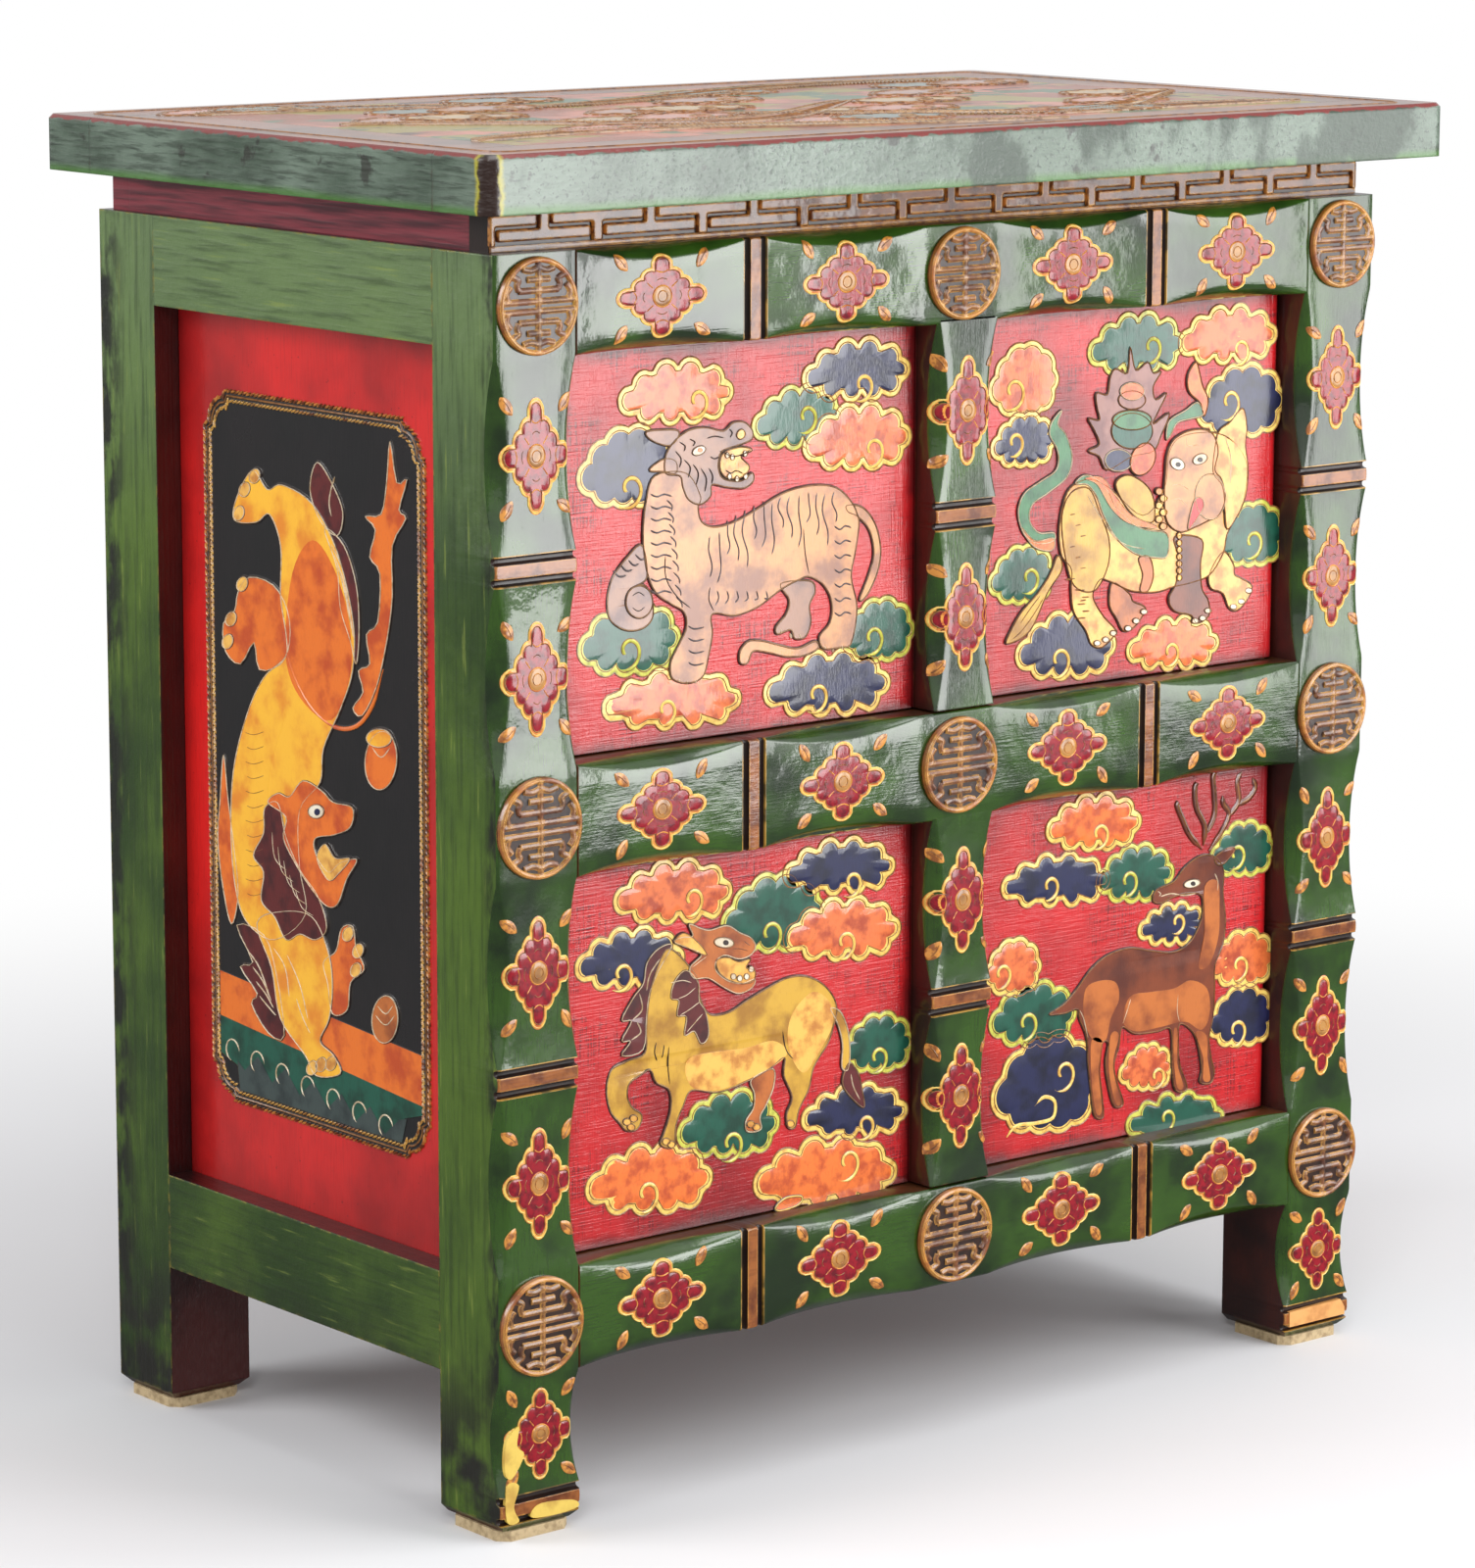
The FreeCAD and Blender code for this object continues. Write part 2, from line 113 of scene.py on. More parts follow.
class Shade:
    """A small builder of one procedural material."""

    def __init__(self, name, roughness, coat=0.0, specular=0.5):
        self.material = bpy.data.materials.new(name)
        self.material.use_nodes = True
        self.tree = self.material.node_tree
        self.shader = self.tree.nodes["Principled BSDF"]
        self.shader.inputs["Roughness"].default_value = roughness
        self.shader.inputs["Coat Weight"].default_value = coat
        self.shader.inputs["Coat Roughness"].default_value = 0.06
        self.shader.inputs["Specular IOR Level"].default_value = specular
        self.place = self.add("TexCoord").outputs["Object"]

    def add(self, kind, inputs=None, **settings):
        node = self.tree.nodes.new("ShaderNode" + kind)
        for key, value in settings.items():
            setattr(node, key, value)
        for key, value in (inputs or {}).items():
            self.put(node.inputs[key], value)
        return node

    def put(self, socket, value):
        if isinstance(value, bpy.types.NodeSocket):
            self.tree.links.new(value, socket)
        else:
            socket.default_value = value

    def noise(self, scale, stretch=(1, 1, 1), detail=4.0, roughness=0.55, shift=0.0):
        """Noise with a feature size of about 1 / scale metres, stretched along the axes."""
        moved = self.add("Mapping", {"Vector": self.place, "Scale": stretch, "Location": (shift, shift,
                                                                                          shift)})
        node = self.add("TexNoise", {"Vector": moved.outputs[0], "Scale": scale, "Detail": detail,
                                     "Roughness": roughness})
        return node.outputs["Fac"]

    def math(self, operation, a, b=0.0, clamp=False):
        return self.add("Math", {0: a, 1: b}, operation=operation, use_clamp=clamp).outputs[0]

    def ramp(self, value, low, high):
        """0 at low, 1 at high, smooth between."""
        node = self.add("MapRange", {"Value": value, "From Min": low, "From Max": high},
                        interpolation_type="SMOOTHSTEP")
        return node.outputs[0]

    def mix(self, factor, a, b):
        node = self.add("Mix", data_type="RGBA")
        self.put(node.inputs[0], factor)
        self.put(node.inputs[6], a)
        self.put(node.inputs[7], b)
        return node.outputs[2]

    def axis(self, source, index):
        return self.add("SeparateXYZ", {0: source}).outputs[index]

    def edge(self, radius):
        """1 where the surface turns at an edge, 0 on flat places."""
        bevel = self.add("Bevel", {"Radius": radius * MM}, samples=4)
        normal = self.add("NewGeometry").outputs["Normal"]
        dot = self.add("VectorMath", {0: bevel.outputs[0], 1: normal},
                       operation="DOT_PRODUCT").outputs["Value"]
        return self.ramp(dot, 0.995, 0.85)

    def finish(self, colour, bumps, rounded=0.0, roughness=None):
        """Set the colour, the bumps as (height, millimetres) pairs and the rounding of the edges."""
        self.put(self.shader.inputs["Base Color"], colour)
        normal = None
        if rounded:
            normal = self.add("Bevel", {"Radius": rounded * MM}, samples=4).outputs[0]
        for height, depth in bumps:
            inputs = {"Height": height, "Distance": depth * MM, "Strength": 1.0}
            if normal is not None:
                inputs["Normal"] = normal
            normal = self.add("Bump", inputs).outputs[0]
        if normal is not None:
            self.put(self.shader.inputs["Normal"], normal)
            self.put(self.shader.inputs["Coat Normal"], normal)
        if roughness is not None:
            self.put(self.shader.inputs["Roughness"], roughness)
        return self.material


def lacquer(name, base, shade, specks, along=X, roughness=0.3, coat=0.6, grain=0.06, worn=None, wear=0.0,
            mottle=22.0):
    """Brushed lacquer: two mottled tones, fine specks, a grain along one axis and worn edges."""
    s = Shade(name, roughness, coat)
    stretch = [1.0, 1.0, 1.0]
    stretch[along] = 0.08
    clouds = s.noise(mottle, detail=5.0)
    fibres = s.noise(900.0, stretch, detail=3.0)
    colour = s.mix(s.ramp(clouds, 0.38, 0.66), base, shade)
    colour = s.mix(s.math("MULTIPLY", s.ramp(fibres, 0.45, 0.75), 0.35), colour, shade)
    dots = s.ramp(s.noise(420.0, detail=2.0, shift=3.0), 0.70, 0.76)
    colour = s.mix(s.math("MULTIPLY", dots, 0.6), colour, specks)
    if worn is not None:
        ragged = s.ramp(s.noise(120.0, detail=6.0, shift=7.0), 0.62 - wear * 0.3, 0.72 - wear * 0.2)
        colour = s.mix(s.math("MULTIPLY", s.edge(1.4), ragged), colour, worn)
    dents = s.noise(60.0, detail=4.0, shift=5.0)
    waves = s.noise(24.0, detail=2.0, shift=11.0)
    rough = s.add("MapRange", {"Value": clouds, "To Min": roughness * 0.8,
                               "To Max": roughness * 1.25}).outputs[0]
    return s.finish(colour, [(fibres, grain), (dents, grain * 5), (waves, grain * 12)], 1.0, rough)


def paint(name, colour, shade, roughness=0.35, coat=0.5, scale=90.0, bump=0.05, spread=(0.40, 0.68)):
    """Plain hand paint under varnish, with blotches of a second tone."""
    s = Shade(name, roughness, coat)
    blotch = s.noise(scale, detail=6.0)
    fine = s.noise(1100.0, (1, 1, 0.25), detail=2.0)
    tone = s.mix(s.ramp(blotch, *spread), colour, shade)
    tone = s.mix(s.math("MULTIPLY", s.ramp(fine, 0.55, 0.8), 0.3), tone, shade)
    return s.finish(tone, [(fine, bump)])


def canvas(name):
    """Red lacquer over cloth: a fine weave, dark rubbed threads, and dirt with painted shade toward the
    frame.
    """
    s = Shade(name, 0.28, 0.6, 0.45)
    warp = s.noise(1400.0, (1, 1, 0.04), detail=2.0)
    weft = s.noise(1400.0, (0.04, 0.04, 1), detail=2.0)
    weave = s.math("ADD", warp, weft)
    clouds = s.noise(11.0, detail=6.0)
    colour = s.mix(s.ramp(clouds, 0.42, 0.70), rgb(192, 20, 26), rgb(124, 10, 20))
    bare = s.ramp(s.noise(30.0, detail=6.0, shift=4.0), 0.44, 0.60)
    threads = s.math("MULTIPLY", s.ramp(weave, 1.02, 1.18), bare)
    colour = s.mix(s.math("MULTIPLY", threads, 0.75), colour, rgb(70, 14, 18))
    # Painted shade with some dirt: a darker band of red along the frame around each recessed door.
    near = None
    for axis, edges in ((X, (left_post[1], mullion_x[0], mullion_x[1], right_post[0])),
                        (Z, (rail_z["bottom"][1], rail_z["middle"][0], rail_z["middle"][1],
                             rail_z["top"][0]))):
        for edge in edges:
            gap = s.math("ABSOLUTE", s.math("SUBTRACT", s.axis(s.place, axis), edge * MM))
            near = gap if near is None else s.math("MINIMUM", near, gap)
    uneven = s.math("MULTIPLY", s.noise(45.0, detail=5.0, shift=8.0), 14.0 * MM)
    frame_shade_and_dirt = s.ramp(s.math("ADD", near, uneven), 15.5 * MM, 6.0 * MM)
    colour = s.mix(s.math("MULTIPLY", frame_shade_and_dirt, 0.8), colour, rgb(58, 12, 14))
    rough = s.add("MapRange", {"Value": clouds, "To Min": 0.22, "To Max": 0.36}).outputs[0]
    return s.finish(colour, [(weave, 0.16), (s.noise(60.0, detail=4.0, shift=5.0), 0.25)], 0.8, rough)


def gesso(name, colour, shade, crown=0.7):
    """Raised outline paint in two tones, mixed in blotches."""
    s = Shade(name, 0.32, 0.5)
    blotch = s.noise(260.0, detail=4.0)
    tone = s.mix(s.ramp(blotch, 0.42, crown), colour, shade)
    return s.finish(tone, [(s.noise(700.0, detail=2.0), 0.04)])


GREEN = rgb(46, 78, 16)
DEEP_GREEN = rgb(15, 36, 6)

green = lacquer("green_lacquer_front", GREEN, DEEP_GREEN, rgb(20, 40, 14), roughness=0.2, coat=1.0,
                worn=rgb(96, 70, 24), wear=0.35)
green_upright = lacquer("green_lacquer_upright", GREEN, DEEP_GREEN, rgb(20, 40, 14), along=Z, roughness=0.22,
                        coat=0.9, worn=rgb(96, 70, 24), wear=0.35)
stain = lacquer("brown_stain", rgb(62, 20, 12), rgb(34, 10, 8), rgb(40, 14, 8), along=Z, roughness=0.35,
                coat=0.4, worn=rgb(140, 80, 30), wear=0.2)
stain_rail = lacquer("brown_stain_rail", rgb(74, 40, 16), rgb(38, 20, 8), rgb(40, 14, 8), roughness=0.35,
                     coat=0.4, worn=rgb(150, 110, 40), wear=0.4)
inside_wood = lacquer("inside_wood", rgb(120, 64, 36), rgb(96, 48, 26), rgb(60, 26, 14), roughness=0.55,
                      coat=0.1, worn=rgb(150, 96, 60), wear=0.2)
ring_copper = lacquer("ring_copper", rgb(150, 88, 40), rgb(96, 46, 20), rgb(60, 26, 12), roughness=0.25,
                      coat=0.6, worn=rgb(232, 170, 76), wear=0.9, mottle=90.0)
groove_dark = paint("groove_dark", rgb(38, 18, 10), rgb(22, 10, 6), 0.4, 0.3)
groove_line = paint("groove_line", rgb(176, 132, 52), rgb(90, 70, 24), 0.35, 0.5, spread=(0.45, 0.6))
red_door = canvas("red_lacquer_door")
red_side = lacquer("red_lacquer_side", rgb(208, 28, 26), rgb(150, 16, 18), rgb(90, 8, 12), along=Z,
                   roughness=0.3, coat=0.7, grain=0.05, worn=rgb(60, 10, 8), wear=0.3, mottle=9.0)
gold_leaf = gesso("flower_gold", rgb(230, 160, 66), rgb(196, 104, 44), 0.62)
crimson = paint("flower_crimson", rgb(146, 10, 30), rgb(96, 6, 24), 0.25, 0.6, 260.0)
tan_eye = paint("flower_eye", rgb(178, 128, 66), rgb(130, 84, 40), 0.3, 0.6)
leaf_gold = gesso("leaf_gold", rgb(206, 138, 56), rgb(140, 82, 34), 0.6)
cream = gesso("outline_cream", rgb(236, 204, 104), rgb(206, 152, 66))
lime = gesso("outline_lime", rgb(202, 200, 78), rgb(150, 150, 50))
umber_line = gesso("outline_umber", rgb(164, 128, 92), rgb(110, 76, 50))
stripe_grey = gesso("stripe_grey", rgb(96, 84, 84), rgb(62, 52, 56))
brown_line = gesso("outline_brown", rgb(150, 100, 50), rgb(90, 52, 26))
ink_line = gesso("outline_ink", rgb(58, 44, 40), rgb(36, 24, 22))
pale_line = gesso("outline_pale", rgb(232, 214, 184), rgb(190, 158, 116))
navy = paint("cloud_navy", rgb(30, 34, 72), rgb(18, 20, 44), 0.3, 0.7)
teal = paint("cloud_teal", rgb(22, 84, 66), rgb(14, 58, 44), 0.3, 0.7)
peach = paint("cloud_peach", rgb(222, 112, 56), rgb(168, 66, 36), 0.3, 0.7, 160.0)
orange = paint("cloud_orange", rgb(232, 116, 44), rgb(186, 74, 30), 0.3, 0.7, 160.0)
fur_tan = paint("fur_tan", rgb(214, 152, 98), rgb(150, 104, 84), 0.3, 0.5, 50.0)
fur_grey = paint("fur_grey", rgb(164, 124, 104), rgb(122, 96, 92), 0.3, 0.5, 60.0)
fur_ochre = paint("fur_ochre", rgb(206, 160, 52), rgb(158, 110, 34), 0.3, 0.7, 60.0)
fur_gold = paint("fur_gold", rgb(236, 182, 84), rgb(186, 118, 48), 0.3, 0.7, 110.0)
fur_brown = paint("fur_brown", rgb(124, 58, 28), rgb(84, 34, 20), 0.3, 0.7, 40.0)
fur_copper = paint("fur_copper", rgb(186, 104, 44), rgb(130, 62, 28), 0.3, 0.7, 60.0)
fur_orange = paint("fur_orange", rgb(226, 112, 26), rgb(186, 70, 18), 0.3, 0.7, 70.0)
fur_yellow = paint("fur_yellow", rgb(244, 182, 44), rgb(222, 132, 30), 0.3, 0.7, 50.0)
mane_maroon = paint("mane_maroon", rgb(92, 26, 26), rgb(58, 14, 18), 0.32, 0.6)
black_field = lacquer("black_field", rgb(20, 15, 17), rgb(10, 8, 10), rgb(44, 34, 34), along=Z,
                      roughness=0.28,
                      coat=0.8, grain=0.03)
white_paint = paint("white_paint", rgb(236, 226, 204), rgb(200, 180, 150), 0.3, 0.6)
mouth_red = paint("mouth_red", rgb(200, 40, 40), rgb(160, 26, 30), 0.3, 0.7)
cloth_green = paint("cloth_green", rgb(60, 118, 74), rgb(40, 86, 56), 0.3, 0.7)
smoke = paint("flame_smoke", rgb(146, 98, 88), rgb(116, 70, 68), 0.3, 0.7)
slate = paint("wave_slate", rgb(60, 72, 70), rgb(40, 50, 50), 0.3, 0.7)
fret_base = paint("fret_base", rgb(50, 26, 16), rgb(26, 12, 8), 0.35, 0.4, 300.0)
fret_copper = lacquer("fret_copper", rgb(118, 70, 42), rgb(72, 38, 24), rgb(50, 24, 12), roughness=0.26,
                      coat=0.7, worn=rgb(226, 166, 84), wear=0.8, mottle=80.0)
rim_gold = lacquer("rim_gold", rgb(168, 98, 44), rgb(112, 56, 26), rgb(80, 34, 14), roughness=0.25, coat=0.8,
                   worn=rgb(246, 190, 84), wear=0.9, mottle=60.0)
gold_edge = gesso("gold_edge", rgb(206, 136, 62), rgb(112, 58, 26), 0.58)
chip_yellow = paint("chip_yellow", rgb(222, 190, 84), rgb(190, 150, 60), 0.5, 0.2)
chip_raw = paint("chip_raw", rgb(220, 160, 92), rgb(190, 126, 66), 0.6, 0.0)
felt = paint("felt_pad", rgb(196, 174, 136), rgb(160, 138, 104), 0.95, 0.0, 300.0, 0.5)


def framed_side():
    """The side frame: green outside, dark maroon stain on the faces inside the frame."""
    s = Shade("side_frame", 0.36, 0.35)
    facing = s.math("ABSOLUTE", s.axis(s.add("NewGeometry").outputs["True Normal"], X))
    out = s.math("GREATER_THAN", s.math("ABSOLUTE", s.axis(s.place, X)), (abs(left_post[0]) - 1.5) * MM)
    outside = s.math("MULTIPLY", s.math("GREATER_THAN", facing, 0.35), out)
    y, z = s.axis(s.place, Y), s.axis(s.place, Z)
    clouds = s.noise(10.0, detail=6.0)
    upright = s.noise(520.0, (1, 0.6, 0.04), detail=5.0)
    level = s.noise(520.0, (1, 0.04, 0.6), detail=5.0)
    mid = s.math("MULTIPLY", s.math("GREATER_THAN", y, side_y[0] * MM), s.math("LESS_THAN", y,
                                                                               side_y[1] * MM))
    streaks = s.math("ADD", s.math("MULTIPLY", level, mid),
                     s.math("MULTIPLY", upright, s.math("SUBTRACT", 1.0, mid)))
    tone = s.mix(s.ramp(clouds, 0.34, 0.66), rgb(76, 102, 28), rgb(38, 62, 16))
    # Painted reflection: the green turns lighter and greyer toward the top.
    tone = s.mix(s.math("MULTIPLY", s.ramp(z, 0.40, 0.60), 0.7), tone, rgb(104, 126, 84))
    tone = s.mix(s.math("MULTIPLY", s.ramp(streaks, 0.46, 0.68), 0.5), tone, rgb(30, 48, 16))
    tone = s.mix(s.math("MULTIPLY", s.ramp(streaks, 0.40, 0.30), 0.4), tone, rgb(132, 146, 62))
    edge_front = s.ramp(y, (front + 14) * MM, (front + 3) * MM)
    edge_rear = s.ramp(y, (rear - 26) * MM, (rear - 4) * MM)
    rim = s.math("MAXIMUM", edge_front, edge_rear)
    flecks = s.ramp(s.noise(90.0, (1, 1, 0.5), detail=8.0, shift=2.0), 0.40, 0.60)
    tone = s.mix(s.math("MULTIPLY", rim, flecks), tone, rgb(22, 26, 16))
    low = s.ramp(z, 0.11, 0.03)
    tone = s.mix(s.math("MULTIPLY", low, s.ramp(s.noise(40.0, shift=2.0), 0.30, 0.6)), tone, rgb(30, 30, 24))
    ragged = s.ramp(s.noise(150.0, detail=6.0, shift=9.0), 0.47, 0.6)
    tone = s.mix(s.math("MULTIPLY", s.edge(2.0), ragged), tone, rgb(140, 124, 40))
    inner = s.mix(s.ramp(clouds, 0.4, 0.65), rgb(66, 14, 10), rgb(30, 5, 5))
    colour = s.mix(outside, inner, tone)
    return s.finish(colour, [(streaks, 0.35), (s.noise(160.0, (1, 0.6, 0.6), detail=5.0, shift=5.0), 0.5)],
                    1.4)


def slab():
    """The top's frame: grey green sides, a red line on the upper edge and a worn near corner."""
    s = Shade("top_slab", 0.3, 0.5)
    x, y, z = (s.axis(s.place, axis) for axis in (X, Y, Z))
    upward = s.axis(s.add("NewGeometry").outputs["True Normal"], Z)
    forward = s.math("LESS_THAN", s.axis(s.add("NewGeometry").outputs["True Normal"], Y), -0.7)
    brushed = s.noise(420.0, (0.35, 0.10, 1), detail=6.0)
    slanted = s.add("Mapping", {"Vector": s.place, "Rotation": (math.radians(52), 0, 0),
                                "Scale": (1, 0.12, 1)}).outputs[0]
    scratch = s.add("TexNoise", {"Vector": slanted, "Scale": 480.0, "Detail": 4.0}).outputs["Fac"]
    clouds = s.noise(13.0, detail=7.0, shift=1.0)
    side = s.mix(s.ramp(clouds, 0.35, 0.66), rgb(104, 120, 106), rgb(60, 76, 62))
    strokes = s.math("SUBTRACT", 0.7, s.math("MULTIPLY", forward, 0.45))
    side = s.mix(s.math("MULTIPLY", s.ramp(brushed, 0.44, 0.66), strokes), side, rgb(42, 54, 42))
    side = s.mix(s.math("MULTIPLY", s.ramp(scratch, 0.56, 0.68), 0.6), side, rgb(36, 46, 38))
    spots = s.ramp(s.noise(55.0, detail=8.0, shift=4.0), 0.62, 0.68)
    side = s.mix(s.math("MULTIPLY", spots, 0.8), side, rgb(34, 32, 26))
    rosy = s.ramp(s.noise(17.0, detail=5.0, shift=12.0), 0.69, 0.73)
    side = s.mix(s.math("MULTIPLY", rosy, 0.7), side, rgb(196, 112, 92))
    foot = s.ramp(s.math("ADD", z, s.math("MULTIPLY", clouds, 6 * MM)), (top_z[0] + 8) * MM,
                  (top_z[0] + 3.5) * MM)
    side = s.mix(s.math("MULTIPLY", foot, 0.7), side, rgb(66, 116, 34))
    blots = s.math("MULTIPLY", forward, s.ramp(s.noise(20.0, (1, 1, 0.5), detail=8.0, shift=21.0), 0.50,
                                               0.58))
    side = s.mix(s.math("MULTIPLY", blots, 0.85), side, rgb(16, 44, 22))
    wobble = s.math("MULTIPLY", s.noise(150.0, detail=5.0, shift=6.0), 4.0 * MM)
    lip = s.ramp(s.math("ADD", z, wobble), (top_z[1] + 0.0) * MM, (top_z[1] + 0.8) * MM)
    side = s.mix(lip, side, rgb(116, 26, 20))
    field = s.mix(s.ramp(clouds, 0.4, 0.62), rgb(150, 90, 66), rgb(96, 60, 44))
    colour = s.mix(s.math("GREATER_THAN", upward, 0.9), side, field)
    far_x = s.math("SUBTRACT", x, top_x[0] * MM)
    far_y = s.math("SUBTRACT", y, top_y[0] * MM)
    reach = s.math("SQRT", s.math("ADD", s.math("POWER", far_x, 2.0), s.math("POWER", far_y, 2.0)))
    reach = s.math("SUBTRACT", reach, s.math("MULTIPLY", wobble, 1.6))
    colour = s.mix(s.ramp(reach, 6.5 * MM, 3.5 * MM), colour, rgb(170, 160, 40))
    colour = s.mix(s.ramp(reach, 4.4 * MM, 2.6 * MM), colour, rgb(38, 18, 10))
    rest = s.math("MULTIPLY", s.edge(2.2), s.ramp(s.noise(120.0, detail=6.0, shift=17.0), 0.5, 0.62))
    colour = s.mix(s.math("MULTIPLY", rest, 0.7), colour, rgb(70, 44, 20))
    return s.finish(colour, [(brushed, 0.18), (scratch, 0.15), (s.noise(70.0, detail=5.0, shift=5.0), 0.4)],
                    1.6)


def waist_paint():
    """The waist's plain boards: rubbed maroon with a lengthwise grain."""
    s = Shade("waist_maroon", 0.4, 0.4)
    grain = s.noise(300.0, (0.05, 0.05, 1), detail=6.0)
    tone = s.mix(s.ramp(grain, 0.38, 0.66), rgb(150, 52, 66), rgb(84, 24, 38))
    return s.finish(tone, [(grain, 0.3)], 0.8)


side_frame = framed_side()
top_slab = slab()
waist_maroon = waist_paint()


def painted_field():
    """The top's painted field: patches of rose, olive, green and brown under varnish."""
    s = Shade("top_field", 0.42, 0.45)
    colour = s.mix(s.ramp(s.noise(16.0, detail=5.0), 0.40, 0.58), rgb(206, 126, 104), rgb(150, 84, 62))
    colour = s.mix(s.ramp(s.noise(20.0, (0.7, 1, 1), detail=6.0, shift=3.0), 0.52, 0.58), colour,
                   rgb(150, 136, 56))
    colour = s.mix(s.ramp(s.noise(24.0, (0.7, 1, 1), detail=6.0, shift=9.0), 0.55, 0.60), colour,
                   rgb(72, 104, 74))
    colour = s.mix(s.ramp(s.noise(34.0, (0.6, 1, 1), detail=7.0, shift=15.0), 0.60, 0.64), colour,
                   rgb(70, 30, 24))
    return s.finish(colour, [(s.noise(500.0, (0.1, 1, 1), detail=3.0), 0.12), (s.noise(80.0, shift=5.0),
                                                                               0.5)])


top_field = painted_field()

# Drawing surfaces


class Surface:
    """A surface to draw on: u and v along it, h out of it, with an optional drop(u, v). Beyond thin
    the relief is lower: an open door lies close to its post there."""

    def __init__(self, origin, u, v, n, drop=None, thin=None):
        self.origin, self.u, self.v, self.n = (np.array(a, float) for a in (origin, u, v, n))
        self.drop = drop
        self.thin = thin

    def at(self, u, v, h):
        u, v = np.asarray(u, float), np.asarray(v, float)
        h = np.broadcast_to(np.asarray(h, float), u.shape)
        if self.drop is not None:
            h = h - self.drop(u, v)
        if self.thin is not None:
            h = h * (1 - 0.58 * np.clip((np.abs(u) - self.thin) / 6.0, 0, 1))
        return self.origin + u[..., None] * self.u + v[..., None] * self.v + h[..., None] * self.n


class Relief:
    """Collects closed solid patches for one object."""

    def __init__(self, name, body, slot):
        self.name, self.body, self.slot = name, body, slot
        self.points, self.faces, self.kinds, self.materials = [], [], [], []
        self.count = 0

    def add(self, points, faces, material):
        if material not in self.materials:
            self.materials.append(material)
        kind = self.materials.index(material)
        self.points.append(np.asarray(points, float).reshape(-1, 3))
        self.faces += [tuple(i + self.count for i in face) for face in faces]
        self.kinds += [kind] * len(faces)
        self.count += len(self.points[-1])

    def build(self, angle=40.0):
        mesh = bpy.data.meshes.new(self.name)
        points = np.concatenate(self.points) * MM
        mesh.from_pydata(points.tolist(), [], self.faces)
        for material in self.materials:
            mesh.materials.append(material)
        mesh.polygons.foreach_set("material_index", self.kinds)
        tidy = bmesh.new()
        tidy.from_mesh(mesh)
        bmesh.ops.recalc_face_normals(tidy, faces=tidy.faces)
        tidy.to_mesh(mesh)
        tidy.free()
        mesh.shade_smooth()
        mesh.set_sharp_from_angle(angle=math.radians(angle))
        piece = bpy.data.objects.new(self.name, mesh)
        bpy.context.scene.collection.objects.link(piece)
        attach(piece, self.body)
        return piece


def curve(points, closed=False, steps=8):
    """A smooth curve through points."""
    p = np.array(points, float)
    n = len(p)
    if closed:
        ring = [p[(i - 1) % n] for i in range(n + 3)]
    else:
        ring = [2 * p[0] - p[1], *p, 2 * p[-1] - p[-2]]
    out = []
    t = np.linspace(0, 1, steps, endpoint=False)[:, None]
    for i in range(len(ring) - 3):
        a, b, c, d = ring[i], ring[i + 1], ring[i + 2], ring[i + 3]
        out.append(0.5 * (2 * b + (c - a) * t + (2 * a - 5 * b + 4 * c - d) * t ** 2
                          + (3 * b - a - 3 * c + d) * t ** 3))
    if not closed:
        out.append(p[-1:])
    return np.concatenate(out)


def lobed(circles, centre, steps=88, least=(0.01, 0.01)):
    """The outline of overlapping circles (u, v, radius) as seen from a centre, not less than an ellipse."""
    angles = np.linspace(0, 2 * math.pi, steps, endpoint=False)
    reach = 1 / np.sqrt((np.cos(angles) / least[0]) ** 2 + (np.sin(angles) / least[1]) ** 2)
    for u, v, radius in circles:
        du, dv = u - centre[0], v - centre[1]
        along = du * np.cos(angles) + dv * np.sin(angles)
        room = radius ** 2 - (du ** 2 + dv ** 2 - along ** 2)
        hit = np.where(room > 0, along + np.sqrt(np.maximum(room, 0)), 0)
        reach = np.maximum(reach, hit)
    return np.stack([centre[0] + reach * np.cos(angles), centre[1] + reach * np.sin(angles)], 1)


FOOT = 0.15


def fan(relief, surface, outline, centre, height, material, shares=(1.0, 0.93, 0.6, 0.3)):
    """A low solid patch whose outline is seen whole from its centre; it follows the surface."""
    n = len(outline)
    centre = np.array(centre, float)
    rings = [surface.at(outline[:, 0], outline[:, 1], -FOOT)]
    for index, share in enumerate(shares):
        ring = centre + (outline - centre) * share
        rings.append(surface.at(ring[:, 0], ring[:, 1], height * (0.55 if index == 0 else 1.0)))
    points = np.concatenate(rings + [surface.at(centre[:1], centre[1:], height * 1.05),
                                     surface.at(centre[:1], centre[1:], -FOOT)])
    faces = []
    for k in range(len(rings) - 1):
        for i in range(n):
            j = (i + 1) % n
            faces.append((k * n + i, k * n + j, (k + 1) * n + j, (k + 1) * n + i))
    top, bottom = len(rings) * n, len(rings) * n + 1
    last = (len(rings) - 1) * n
    for i in range(n):
        j = (i + 1) % n
        faces.append((last + i, last + j, top))
        faces.append((j, i, bottom))
    relief.add(points, faces, material)


def plate(relief, surface, outline, height, material, foot=-FOOT):
    """A low flat patch with any outline, on a flat surface."""
    outline = np.asarray(outline, float)
    n = len(outline)
    top = surface.at(outline[:, 0], outline[:, 1], height)
    bottom = surface.at(outline[:, 0], outline[:, 1], foot)
    triangles = tessellate_polygon([[Vector((u, v, 0)) for u, v in outline]])
    faces = [tuple(t) for t in triangles]
    faces += [tuple(n + i for i in reversed(t)) for t in triangles]
    faces += [(i, (i + 1) % n, n + (i + 1) % n, n + i) for i in range(n)]
    relief.add(np.concatenate([top, bottom]), faces, material)


SECTION = ((-0.5, 0.0), (-0.36, 0.7), (0.0, 1.0), (0.36, 0.7), (0.5, 0.0))


